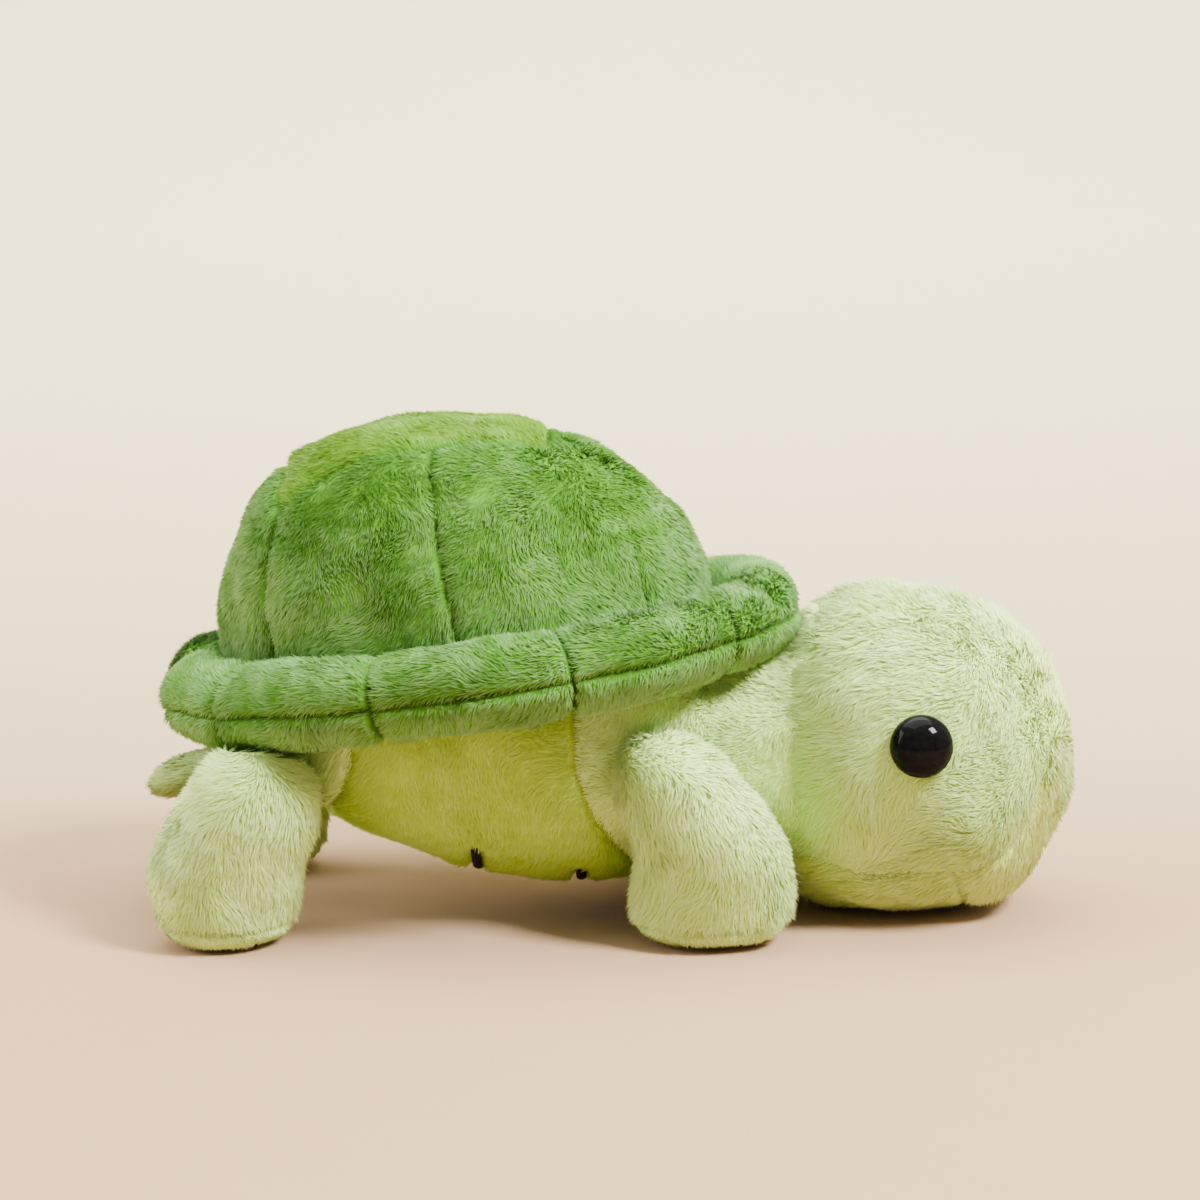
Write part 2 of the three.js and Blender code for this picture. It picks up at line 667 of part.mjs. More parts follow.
function headGusset(fromDegrees, toDegrees) {
  const along = Math.round(HEAD_STEPS * (fromDegrees - toDegrees) / 360);
  const pointAt = (u, v, depth) => {
    const turn = radians(mix(fromDegrees, toDegrees, v));
    const reach = gussetSide(turn);
    return headPoint(turn, mix(-reach, reach, u), depth);
  };
  return panel(pointAt, HEAD_RINGS, along);
}

function headForm(depth) {
  const pointAt = (u, v) => headPoint(u * 2 * Math.PI, (v - 0.5) * Math.PI, depth);
  return closedForm(pointAt, HEAD_STEPS - 4, 2 * HEAD_RINGS, depth);
}

// Safety eyes: a domed disc on a shank, held by a washer inside the head

function turnedGeometry(outline) {
  const points = outline.map(([radius, height]) => new THREE.Vector2(radius, height));
  return new THREE.LatheGeometry(points, EYE_STEPS).rotateX(Math.PI / 2);
}

function eyeGeometry() {
  const dome = Array.from({ length: EYE_RINGS + 1 }, (_, i) => {
    const rise = (i / EYE_RINGS) * (Math.PI / 2);
    return [EYE_RADIUS * Math.cos(rise), EYE_RIM + EYE_DOME * Math.sin(rise)];
  });
  dome[EYE_RINGS][0] = 0;
  return turnedGeometry([
    [0, -SHANK_LENGTH], [SHANK_RADIUS, -SHANK_LENGTH], [SHANK_RADIUS, 0], [EYE_RADIUS, 0], ...dome]);
}

function washerGeometry() {
  const bore = SHANK_RADIUS + SHANK_GAP;
  const top = -WASHER_SEAT;
  const low = top - WASHER_THICKNESS;
  return turnedGeometry([
    [bore, low], [WASHER_RADIUS, low], [WASHER_RADIUS, top], [bore, top], [bore, low]]);
}

// A round pocket from the eye's seat down to a depth
function pocketGeometry(radius, depth) {
  return turnedGeometry([[0, -depth], [radius, -depth], [radius, OVERRUN], [0, OVERRUN]]);
}

// The eye's place on the head's face, with its own Z pointing out of the head
function eyeFrame(hand) {
  const seatSide = hand * Math.asin(Math.sqrt(
    1 - ((EYE_X - HEAD_X) / HEAD_HALF_LENGTH) ** 2 - ((EYE_Z - HEAD_Z) / HEAD_HALF_HEIGHT) ** 2));
  const turn = Math.atan2(EYE_Z - HEAD_Z, EYE_X - HEAD_X);
  const seat = headPoint(turn, seatSide, -FILL_GAP);
  const out = seat.clone().sub(headPoint(turn, seatSide, FILL_GAP)).normalize();
  const turned = new THREE.Quaternion().setFromUnitVectors(new THREE.Vector3(0, 0, 1), out);
  return new THREE.Matrix4().compose(seat, turned, new THREE.Vector3(1, 1, 1));
}

function placed(geometry, frame) {
  return toSolid(geometry.clone().applyMatrix4(frame));
}

function headCutters() {
  return [
    ...swept(torsoForm(-MOVE_GAP), NECK_X, NECK_Z, HEAD_SWEEP_DEGREES),
    ...swept(rollHull(), NECK_X, NECK_Z, HEAD_SWEEP_DEGREES),
    floor,
  ];
}

function addHead() {
  const cutters = headCutters();
  const fillCutters = [...cutters];
  [[LEFT, 'left'], [RIGHT, 'right']].forEach(([hand, name]) => {
    const frame = eyeFrame(hand);
    const hole = placed(pocketGeometry(SHANK_RADIUS + SHANK_GAP, SHANK_LENGTH), frame);
    addPiece(head, `head_side_${name}`, cut(headSide(hand), hole, ...cutters), FINISH.pale);
    addPiece(head, `eye_${name}`, placed(eyeGeometry(), frame), FINISH.eye);
    addPiece(head, `eye_washer_${name}`, placed(washerGeometry(), frame), FINISH.washer);
    const room = WASHER_SEAT + WASHER_THICKNESS + FILL_GAP;
    fillCutters.push(placed(pocketGeometry(WASHER_RADIUS + FILL_GAP, room), frame));
    fillCutters.push(placed(
      pocketGeometry(SHANK_RADIUS + SHANK_GAP, SHANK_LENGTH + FILL_GAP), frame));
  });
  const face = headGusset(GUSSET_BACK_TURN_DEGREES, CHIN_SEAM_TURN_DEGREES);
  const chin = headGusset(CHIN_SEAM_TURN_DEGREES, THROAT_TURN_DEGREES);
  addPiece(head, 'head_gusset', cut(face, ...cutters), FINISH.face);
  addPiece(head, 'chin_gusset', cut(chin, ...cutters), FINISH.face);
  const fill = toSolid(headForm(SKIN + LOOSE_FILL_GAP));
  addPiece(head, 'head_stuffing', cut(fill, ...fillCutters), FINISH.stuffing);
}

// Legs

// A leg's surface at a row of its tables, from the top to the middle of the sole
function legSurface(leg, rows, hand, place, angle) {
  const row = THREE.MathUtils.clamp(place, 0, rows.length - 1);
  const low = Math.min(Math.floor(row), rows.length - 2);
  const [height, long, wide, back] = rows[low].map((value, i) => mix(value, rows[low + 1][i], row - low));
  return new THREE.Vector3(
    leg.x + leg.halfLength * (long * Math.cos(angle) - back),
    hand * (leg.y + leg.halfWidth * wide * Math.sin(angle)),
    height);
}

function legRows(leg, shares) {
  const upper = shares.map(([height, ...rest]) => [height * leg.height, ...rest]);
  const lower = SOLE_SHARES.map(([height, long, wide]) => [
    mix(-FLAT_DEPTH, SOLE_EDGE, height), long, wide, 0]);
  return [...upper, ...lower];
}

function legPatch(leg, shares, hand, first, last, edges) {
  const rows = legRows(leg, shares);
  const core = new THREE.Vector3(leg.x, hand * leg.y, leg.height / 2);
  const pointAt = (u, v, depth) => sunk(
    (place, angle) => legSurface(leg, rows, hand, place, angle),
    mix(first, last, v), u * 2 * Math.PI, depth, core);
  return { pointAt, steps: last - first, edges: { wraps: true, ...edges } };
}

function legSkin(patch) {
  return panel(patch.pointAt, LEG_STEPS, patch.steps, patch.edges);
}

const aboveSole = slab(SOLE_EDGE - SEAM_GAP / 2, worldFrame);
const belowSole = slab(SOLE_EDGE + SEAM_GAP / 2 - SLAB, worldFrame);

function addLeg(name, leg, shares, hand, clearers) {
  const group = groupAt(leg.rootX, 0, leg.rootZ);
  const seam = shares.length;
  const end = legRows(leg, shares).length - 1;
  const cutters = [...clearers, floor];
  const sleeve = legSkin(legPatch(leg, shares, hand, 0, seam, { tipFirst: true }));
  const sole = legSkin(legPatch(leg, shares, hand, seam, end, { tipLast: true }));
  const whole = legPatch(leg, shares, hand, 0, end, {});
  const fill = toSolid(closedForm(whole.pointAt, LEG_STEPS, end, SKIN + FILL_GAP));
  addPiece(group, `leg_${name}`, cut(sleeve, ...cutters, belowSole), FINISH.pale);
  addPiece(group, `sole_${name}`, cut(sole, ...cutters, aboveSole), FINISH.pale);
  addPiece(group, `leg_stuffing_${name}`, cut(fill, ...cutters), FINISH.stuffing);
}

function addLegs() {
  [[FRONT_LEG, FRONT_LEG_SHARES, 'front'], [REAR_LEG, REAR_LEG_SHARES, 'rear']].forEach(
    ([leg, shares, name]) => {
      const sweep = (form) => swept(form, leg.rootX, leg.rootZ, [leg.swing[0], 0, leg.swing[1]]);
      const clearers = [...sweep(torsoForm(-MOVE_GAP)), ...sweep(rollHull())];
      addLeg(`${name}_left`, leg, shares, LEFT, clearers);
      addLeg(`${name}_right`, leg, shares, RIGHT, clearers);
    });
}

// Tail

function tailSurface(place, angle) {
  const along = THREE.MathUtils.clamp(place, -1, 1);
  const size = Math.max(1 - Math.abs(along) ** TAIL_POWER, 0) ** (1 / TAIL_POWER);
  const drop = Math.tan(radians(TAIL_DROP_DEGREES)) * along * TAIL_LENGTH;
  return new THREE.Vector3(
    TAIL_ROOT_X - TAIL_LENGTH * along,
    TAIL_HALF_WIDTH * size * Math.cos(angle),
    TAIL_ROOT_Z - drop + TAIL_HALF_HEIGHT * size * Math.sin(angle));
}

// The tail's two layers are sewn round their edge, with no stuffing between them
function addTail() {
  const form = closedForm((u, v) => tailSurface(-Math.cos(v * Math.PI), u * 2 * Math.PI),
    TAIL_ROUND_STEPS, TAIL_LONG_STEPS, 0);
  const sweep = (fixed) => swept(fixed, TAIL_ROOT_X, TAIL_ROOT_Z, TAIL_SWEEP_DEGREES);
  const cutters = [...sweep(torsoForm(-MOVE_GAP)), ...sweep(rollHull())];
  const middle = tail.matrixWorld.clone()
    .multiply(new THREE.Matrix4().makeRotationY(-radians(TAIL_DROP_DEGREES)));
  const layer = (half) => cut(toSolid(form), half, ...cutters);
  addPiece(tail, 'tail_upper', layer(slab(SEAM_GAP / 2 - SLAB, middle)), FINISH.tail);
  addPiece(tail, 'tail_lower', layer(slab(-SEAM_GAP / 2, middle)), FINISH.tail);
}

addBrim();
addDome();
addShellInside();
addTorso();
addHead();
addLegs();
addTail();

// The origin lies under the middle of the toy's length
const whole = new THREE.Box3().setFromObject(turtle);
turtle.position.x = -(whole.min.x + whole.max.x) / 2;

export default turtle;
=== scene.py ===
import json
import math

import bmesh
import bpy
import numpy as np
from mathutils import Matrix, Vector
from mathutils.bvhtree import BVHTree

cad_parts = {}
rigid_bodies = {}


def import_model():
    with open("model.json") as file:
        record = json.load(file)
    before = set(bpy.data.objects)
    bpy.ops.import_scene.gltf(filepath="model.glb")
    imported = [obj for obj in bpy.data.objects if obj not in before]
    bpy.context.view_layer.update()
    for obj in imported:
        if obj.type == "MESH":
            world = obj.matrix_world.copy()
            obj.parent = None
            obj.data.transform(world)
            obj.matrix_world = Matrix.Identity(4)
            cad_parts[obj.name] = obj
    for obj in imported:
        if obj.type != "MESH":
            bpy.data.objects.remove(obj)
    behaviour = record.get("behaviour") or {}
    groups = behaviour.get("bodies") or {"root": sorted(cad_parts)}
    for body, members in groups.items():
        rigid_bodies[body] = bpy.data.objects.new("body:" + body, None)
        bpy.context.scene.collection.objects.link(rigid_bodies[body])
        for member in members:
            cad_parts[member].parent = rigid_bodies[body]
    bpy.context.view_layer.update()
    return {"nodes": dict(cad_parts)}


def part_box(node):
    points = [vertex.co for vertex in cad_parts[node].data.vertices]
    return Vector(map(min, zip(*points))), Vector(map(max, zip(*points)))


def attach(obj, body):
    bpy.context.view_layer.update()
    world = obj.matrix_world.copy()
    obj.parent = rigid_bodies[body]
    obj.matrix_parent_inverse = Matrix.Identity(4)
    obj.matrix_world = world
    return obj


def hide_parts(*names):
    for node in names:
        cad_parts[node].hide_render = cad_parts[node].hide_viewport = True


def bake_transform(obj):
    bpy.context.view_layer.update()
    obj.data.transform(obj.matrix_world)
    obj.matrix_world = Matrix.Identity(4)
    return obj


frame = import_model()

bl_info = {
    "name": "Plush Turtle",
    "version": (1, 0, 0),
    "blender": (4, 5, 0),
    "location": "View3D > Sidebar > Plush Turtle",
    "description": "Stuffed forms, seams, pile, eyes and stage of a plush turtle",
    "category": "Object",
}

NODES = frame["nodes"]

# Numbers of divisions
BRIM_AROUND, BRIM_SECTION = 120, 20
DOME_AROUND, DOME_RISE = 64, 18
TORSO_AROUND, TORSO_ALONG = 48, 40
HEAD_AROUND, HEAD_ACROSS = 56, 32
NECK_ALONG = 10
LEG_AROUND, LEG_DOWN = 32, 24
TAIL_AROUND, TAIL_ALONG = 28, 18
LINE_RIBS, LINE_SECTION = 60, 12
REFINE_LEVELS = 2
OBJECT_SPACE = 3  # the output of a texture coordinate node
STITCH_RIBS = 4
EYE_SEGMENTS, EYE_RINGS = 64, 32
SIM_FRAMES, SIM_QUALITY = 20, 5

# Sizes of the filling's lumps, and the soft shoulder on both sides of a seam
LUMP_SIZE, NECK_LUMP_SIZE = 0.022, 0.014
SHOULDER_WIDTH, SHOULDER_SHARE = 0.006, 0.35
PANEL_REACH = 0.012  # how far from a point its nearest CAD panels are looked for

# Down the torso's length from the rear: place, then shares of the half width, of the depth up
# and down, and of the waist's drop
TORSO_SHARES = np.array([
    (0, 0, 0, 0, 0.16), (0.03, 0.3, 0.2, 0.16, 0.14), (0.08, 0.5, 0.4, 0.28, 0.1),
    (0.15, 0.72, 0.5, 0.45, 0.06), (0.22, 0.86, 0.55, 0.6, 0.02), (0.33, 0.96, 0.6, 0.77, 0),
    (0.45, 1, 0.6, 0.89, 0), (0.58, 1, 0.6, 0.965, 0), (0.69, 0.97, 0.6, 0.975, 0),
    (0.78, 0.93, 0.55, 0.95, 0), (0.865, 0.86, 0.5, 0.84, 0.01), (0.935, 0.74, 0.42, 0.66, 0.02),
    (0.98, 0.5, 0.28, 0.42, 0.03), (1, 0, 0, 0, 0.04)])
# Down a leg: shares of its height, its half length and half width, and its shift back
LEG_SHARES = {
    "front": np.array([
        (1, 0, 0, 0.62), (0.975, 0.34, 0.36, 0.62), (0.9, 0.6, 0.62, 0.56),
        (0.78, 0.8, 0.84, 0.42), (0.6, 0.98, 0.97, 0.25), (0.4, 0.99, 1, 0.04), (0.2, 1, 1, 0)]),
    "rear": np.array([
        (1, 0, 0, -0.4), (0.975, 0.36, 0.34, -0.4), (0.9, 0.66, 0.6, -0.4),
        (0.78, 0.91, 0.82, -0.42), (0.6, 1.02, 0.96, -0.29), (0.42, 1, 1, -0.06),
        (0.2, 1, 1, 0)]),
}
# Under the sole's seam: shares of the seam's height, then of the foot's two sizes
SOLE_SHARES = np.array([
    (1, 0.99, 0.99), (0.45, 0.91, 0.9), (0.1, 0.77, 0.76), (0, 0.62, 0.6), (0, 0, 0)])
WAVE_COUNT, WAVE_GAIN = 9, 1.2
# How the pile varies: for each wave its size, its seed and its strength, then the spread from
# tuft to tuft
FLOW_WAVES, FLOW_SPREAD = ((0.025, 3, 0.6), (0.007, 7, 0.3)), 0.16
LEAN_WAVES, LEAN_SPREAD, LEAN_LIMITS = ((0.012, 4, 0.14),), 0.09, (0.3, 1.35)
LENGTH_WAVES, LENGTH_SPREAD = ((0.009, 5, 0.12),), (0.75, 1.15)
TONE_WAVES, TONE_SPREAD, TONE_LIMITS = ((0.02, 6, 0.16), (0.004, 8, 0.14)), 0.12, (0.02, 0.98)
RADIUS_SPREAD = (0.75, 1.3)
# At a seam: the bare gap, how much wider it gets at a stitch, its spread, how short the tufts
# are, and how much darker they are painted over what width, as painted shade in the seam's groove
GAP, STITCH_GAP, GAP_SPREAD = 0.0003, 0.0006, (0.7, 1.5)
SEAM_LENGTH, SEAM_PAINTED_SHADE, SEAM_PAINTED_SHADE_WIDTH = 0.35, 0.25, 0.0015
STITCH_PITCH = 0.0034
NO_SEAM = 0.01  # further from a seam than anything about it reaches
# Near the floor: the height below which tufts get shorter, the shortest share, and the lowest tip
FLOOR_HEIGHT, FLOOR_LENGTH, FLOOR_TIP = 0.008, 0.4, 0.0002
# What faces down more than this has fewer tufts
UNDERSIDE = -0.6
# How a tuft is shaded: how round its root is, and how its tip faces up and along
ROOT_ROUND, TIP_UP, TIP_ALONG = 0.5, 0.8, 0.5
# A tuft's place on its UV map: its tone across, and from its root to its tip up the map
UV_HALF_WIDTH, UV_ROOT, UV_LENGTH = 0.006, 0.01, 0.98
BACK = (-1, 0, -0.35)  # the way that the head's and the neck's pile lies
# The brim's pile turns down within TURN_HEIGHT of the roll's middle. The head's pile lies
# outwards from FACE_HEIGHT on its front, the more so the further it is from there.
TURN_HEIGHT, FACE_HEIGHT, FACE_SPREAD = 0.004, 0.045, 0.008
# Painted light and shade in the pile's tone: the dome is painted darker at its top and lighter
# down its sides, and the brim lighter below its middle line, where it lies in shade
DOME_PAINTED_SHADING, DOME_PAINTED_SHADING_HEIGHT, DOME_PAINTED_SHADING_SPAN = 0.4, 0.094, 0.022
BRIM_PAINTED_LIGHT, BRIM_PAINTED_LIGHT_SPAN = 0.6, 0.006
# The run of the stitches, from the turn round the shell and the height over its rim
STITCH_TURN, STITCH_RISE = 0.06, 0.9
# The belly's lines: place along the toy, and how far round the belly to each side in degrees
BELLY_LINES = {"rear": (-0.035, 43), "front": (-0.0078, 29)}
# How a line's notch ends in metres a degree, the notch's width, the share of the line's width
# that is bare on each side, and how much thinner the thread is between two stitches
LINE_FADE, NOTCH_WIDTH, LINE_BARE, LINE_NIP = 0.0007, 0.0026, 0.6, 0.12
STEP = 1e-3  # for slopes
# The neck's sleeve, from the torso's end to the head's: half width and half height at the torso
# and how much they change, how far its middle drops, how far it is drawn in halfway, and how far
# its top rises, and from where, to meet the back of the head
NECK_WIDTH, NECK_WIDTH_GAIN = 0.0375, -0.0005
NECK_HEIGHT, NECK_HEIGHT_GAIN = 0.024, 0.0105
NECK_OFFSET, NECK_DROP = 0.001, 0.0065
NECK_WAIST, NECK_POWER = 0.05, 0.9
NECK_CROWN, NECK_CROWN_START, NECK_CROWN_SPAN = 0.0065, 0.62, 0.3
SAG_HEIGHT = 0.03  # the head sags below this height
DOME_START = -0.25  # the angle of the dome's lowest row
CLEARANCE = 0.0004  # what moves is kept this far off what doesn't
# How far an eye's dome stands off the head, how far its part behind that is stretched, and the
# angle in degrees from which its edges are sharp
EYE_SEAT, EYE_RIM_STRETCH, EYE_SHARP = 0.0006, 1.6, 40
# Ranges of the joints in degrees, and the legs' pivots seen from the side
NECK_RANGE, TAIL_RANGE = (-10, 0, 8), (-12, 0, 12)
LEG_PIVOTS = {"front": ((0.014, 0.042), (-5, 0, 16)), "rear": ((-0.088, 0.038), (-14, 0, 14))}
# The paper: where it starts in front, where it bends up and by what radius, its height, its half
# width, and the steps of its bend
SWEEP_FRONT, SWEEP_BEND, SWEEP_RADIUS = -1.6, 0.9, 0.8
SWEEP_TOP, SWEEP_SIDE, SWEEP_STEPS = 2.6, 3, 12
SENSOR_WIDTH, CLIP_START = 36, 0.05
# Each light's place, what it is turned to, its size and its power in watts
LIGHTS = {
    "key": ((0.75, -0.55, 1.05), (0, 0, 0.06), 0.36, 65.0),
    "overhead": ((-0.1, 0.2, 1.5), (0, 0, 0.06), 1.6, 42.0),
    "fill": ((-1.3, -0.1, 0.7), (0, 0, 0.06), 0.8, 22.0),
    "backdrop": ((0, 0.7, 1.6), (0, 1.7, 0.5), 1.2, 24.0),
}
# The room's light: its colour, then from where to where it rises, and from what to what
ROOM_COLOUR, ROOM_RAMP = (1, 0.965, 0.91, 1), (-0.1, 0.9, 0.4, 1.7)
SHELL_SIDES = ("left_front", "left_rear", "rear", "right_rear", "right_front", "front")
LEG_NAMES = ("front_left", "front_right", "rear_left", "rear_right")


def length(name, description, default):
    return bpy.props.FloatProperty(
        name=name, description=description, default=default, unit="LENGTH", precision=4)


def angle(name, description, degrees):
    return bpy.props.FloatProperty(
        name=name, description=description, default=math.radians(degrees), subtype="ANGLE")


def share(name, description, default):
    return bpy.props.FloatProperty(name=name, description=description, default=default)


def colour(name, description, red, green, blue):
    return bpy.props.FloatVectorProperty(
        name=name, description=description, subtype="COLOR", size=3, min=0, max=1,
        default=[(part / 255) ** 2.2 for part in (red, green, blue)])


class TURTLE_PG_shell(bpy.types.PropertyGroup):
    rim_x: length("Rim X", "Middle of the rim along the toy", -0.034)
    rim_z: length("Rim Z", "Height of the rim's middle", 0.0684)
    tilt: angle("Rim tilt", "How far the rim rises towards the head", 8.45)
    roll_length: length("Roll half length", "Half length of the roll's middle line", 0.0736)
    roll_width: length("Roll half width", "Half width of the roll's middle line", 0.0595)
    roll_radius: length("Roll radius", "Radius of the stuffed roll", 0.0122)
    dome_x: length("Dome X", "Middle of the dome along the toy", -0.037)
    dome_length: length("Dome half length", "Half length of the dome", 0.0673)
    dome_width: length("Dome half width", "Half width of the dome", 0.054)
    dome_height: length("Dome height", "Height of the dome over its middle", 0.0626)
    dome_front_power: share("Front fullness", "How full the dome is at the front", 2.2)
    dome_rear_power: share("Rear fullness", "How full the dome is at the rear", 2.6)
    dome_foot: length("Dome foot", "How far the dome reaches below the rim's plane", 0.003)


class TURTLE_PG_torso(bpy.types.PropertyGroup):
    rear_x: length("Rear X", "Rear end of the torso", -0.101)
    front_x: length("Front X", "Front end of the torso", 0.039)
    half_width: length("Half width", "Half width of the torso", 0.044)
    depth: length("Depth", "Depth of the belly under the waist", 0.0445)
    waist_z: length("Waist Z", "Height of the torso's widest line", 0.05)
    power: share("Fullness", "How full the torso's section is", 2.2)
    line_radius: length("Line radius", "How thick a belly line is, halved", 0.0009)
    line_width: length("Line width", "Width of the belly's lines", 0.0026)
    line_pull: length("Line pull", "How far a line pulls the belly in", 0.0017)


class TURTLE_PG_head(bpy.types.PropertyGroup):
    x: length("X", "Middle of the head along the toy", 0.076)
    z: length("Z", "Height of the head's middle", 0.0426)
    half_length: length("Half length", "Half length of the head", 0.0456)
    half_width: length("Half width", "Half width of the head", 0.047)
    half_height: length("Half height", "Half height of the head", 0.0431)
    top_power: share("Top fullness", "How full the head is above its middle", 2.1)
    low_power: share("Low fullness", "How full the head is below its middle", 2.45)
    sag: length("Sag", "How far the chin spreads on what it rests on", 0.003)
    neck_x: length("Neck X", "The neck's pivot along the toy", 0.02)
    neck_z: length("Neck Z", "Height of the neck's pivot", 0.045)
    sleeve_rear: length("Sleeve rear", "Where the neck's sleeve leaves the torso", 0.022)
    sleeve_front: length("Sleeve front", "Where the neck's sleeve meets the head", 0.056)
    eye_x: length("Eye X", "Middle of the eyes along the toy", 0.0773)
    eye_z: length("Eye Z", "Height of the eyes", 0.0505)
    eye_radius: length("Eye radius", "Radius of a safety eye", 0.008)
    eye_dome: length("Eye dome", "How far a safety eye stands out", 0.0056)


class TURTLE_PG_legs(bpy.types.PropertyGroup):
    y: length("Y", "How far the soles' middles are from the middle plane", 0.044)
    half_width: length("Half width", "Half width of a foot", 0.018)
    sole_edge: length("Sole edge", "Height of the sole's seam", 0.006)
    front_x: length("Front X", "Middle of the front soles", 0.0257)
    front_height: length("Front height", "Height of a front leg", 0.056)
    front_length: length("Front half length", "Half length of a front foot", 0.021)
    rear_x: length("Rear X", "Middle of the rear soles", -0.0976)
    rear_height: length("Rear height", "Height of a rear leg", 0.053)
    rear_length: length("Rear half length", "Half length of a rear foot", 0.0195)


class TURTLE_PG_tail(bpy.types.PropertyGroup):
    root_x: length("Root X", "Where the tail is sewn on", -0.1)
    root_z: length("Root Z", "Height of the tail's root", 0.038)
    long: length("Length", "How far the tail reaches", 0.0216)
    half_width: length("Half width", "Half width of the tail", 0.011)
    half_height: length("Half height", "Half thickness of the tail", 0.0066)
    drop: angle("Drop", "How far the tail points down", 16)
    power: share("Fullness", "How square the tail's outline is", 2.6)


class TURTLE_PG_cloth(bpy.types.PropertyGroup):
    sink: length("Pile depth", "How deep the backing lies under the pile's surface", 0.0016)
    seam_depth: length("Seam depth", "How deep a seam pulls the cover in", 0.0014)
    seam_width: length("Seam width", "Half width of a seam's groove", 0.0011)
    lump: length("Lumps", "Height of the lumps of the filling", 0.0006)
    pressure: share("Filling pressure", "Pressure of the filling in the cloth simulation", 4.0)
    swell: length("Most swell", "The furthest that the filling pushes the cover", 0.0012)


class TURTLE_PG_pile(bpy.types.PropertyGroup):
    density: bpy.props.FloatProperty(
        name="Density", description="Tufts on a square millimetre", default=3.6)
    underneath: share("Underneath", "Share of the tufts on what faces down", 0.6)
    short: length("Short pile", "Length of a tuft on the shell and belly", 0.0028)
    long: length("Long pile", "Length of a tuft on the head and legs", 0.0039)
    radius: length("Tuft radius", "Radius of a tuft at its root", 0.00026)
    lean: angle("Lean", "How far the tufts lie over", 60)


class TURTLE_PG_colours(bpy.types.PropertyGroup):
    shell: colour("Shell", "Green of the shell's side panels and brim", 92, 156, 33)
    shell_top: colour("Shell top", "Green of the shell's top panel", 126, 182, 25)
    belly: colour("Belly", "Olive yellow of the belly", 210, 248, 84)
    pale: colour("Head and legs", "Pale green of the head and legs", 222, 255, 146)
    # The face's yellower tone than the head's pale green is painted warm bounce light on the same
    # fabric
    face: colour("Face", "Pale yellow of the head's gusset", 232, 255, 134)
    tail: colour("Tail", "Greyish green of the tail", 172, 194, 100)
    thread: colour("Thread", "Black of the embroidered lines", 8, 8, 8)
    eye: colour("Eyes", "Black of the eyes", 6, 6, 6)


class TURTLE_PG_stage(bpy.types.PropertyGroup):
    elevation: angle("Elevation", "How far the camera looks down", 9)
    distance: length("Distance", "From the camera to its target", 0.95)
    target_x: length("Target X", "Where the camera looks", -0.0029)
    target_z: length("Target Z", "Where the camera looks", 0.081)
    lens: share("Lens", "Focal length in millimetres", 108.8)
    # One paper sweep: the backdrop's lighter tone is painted light, and the floor's darker, warmer
    # one is painted shade
    backdrop: colour("Backdrop", "Colour of the paper behind the toy", 255, 243, 196)
    floor: colour("Floor", "Colour of the paper under the toy", 174, 143, 112)


GROUPS = {group.__name__.replace("TURTLE_PG", "turtle"): group for group in (
    TURTLE_PG_shell, TURTLE_PG_torso, TURTLE_PG_head, TURTLE_PG_legs, TURTLE_PG_tail,
    TURTLE_PG_cloth, TURTLE_PG_pile, TURTLE_PG_colours, TURTLE_PG_stage)}


def settings(name):
    return getattr(bpy.context.scene, "turtle_" + name)


# Surfaces of the forms. Each takes arrays of two numbers and gives points in metres.

def signed_power(value, power):
    return np.sign(value) * np.abs(value) ** power


def rim_to_toy(x, y, z):
    shell = settings("shell")
    c, s = math.cos(shell.tilt), math.sin(shell.tilt)
    return np.stack([shell.rim_x + x * c - z * s, y, shell.rim_z + x * s + z * c], -1)


def toy_to_rim(points):
    shell = settings("shell")
    c, s = math.cos(shell.tilt), math.sin(shell.tilt)
    x, z = points[..., 0] - shell.rim_x, points[..., 2] - shell.rim_z
    return x * c + z * s, points[..., 1], -x * s + z * c


def roll_surface(around, section):
    shell = settings("shell")
    out_x = np.cos(around) / shell.roll_length
    out_y = np.sin(around) / shell.roll_width
    size = np.hypot(out_x, out_y)
    reach = shell.roll_radius * np.cos(section)
    return rim_to_toy(
        shell.roll_length * np.cos(around) + out_x / size * reach,
        shell.roll_width * np.sin(around) + out_y / size * reach,
        shell.roll_radius * np.sin(section))


def dome_surface(around, rise):
    shell = settings("shell")
    front = (1 + np.cos(around)) / 2
    power = shell.dome_rear_power + (shell.dome_front_power - shell.dome_rear_power) * front
    reach = np.maximum(np.cos(rise), 0) ** (2 / power)
    lift = signed_power(np.sin(rise), 2 / power)
    middle = shell.rim_z + (shell.dome_x - shell.rim_x) * math.tan(shell.tilt)
    return np.stack([
        shell.dome_x + shell.dome_length * reach * np.cos(around),
        shell.dome_width * reach * np.sin(around),
        middle + shell.dome_height * lift], -1)


def torso_surface(around, place):
    torso = settings("torso")
    width, up, down, drop = (
        np.interp(place, TORSO_SHARES[:, 0], TORSO_SHARES[:, k]) for k in range(1, 5))
    side = signed_power(np.sin(around), 2 / torso.power)
    low = signed_power(np.cos(around), 2 / torso.power)
    return np.stack([
        torso.rear_x + (torso.front_x - torso.rear_x) * place,
        torso.half_width * width * side,
        torso.waist_z - torso.depth * (drop + np.where(low > 0, down, up) * low)], -1)


def head_surface(turn, side):
    head = settings("head")
    power = np.where(np.sin(turn) < 0, head.low_power, head.top_power)
    reach = np.maximum(np.cos(side), 0) ** (2 / head.top_power)
    z = head.z + head.half_height * reach * signed_power(np.sin(turn), 2 / power)
    z -= head.sag * np.clip(1 - z / SAG_HEIGHT, 0, 1) ** 2
    return np.stack([
        head.x + head.half_length * reach * signed_power(np.cos(turn), 2 / power),
        head.half_width * signed_power(np.sin(side), 2 / head.top_power),
        np.maximum(z, 0)], -1)


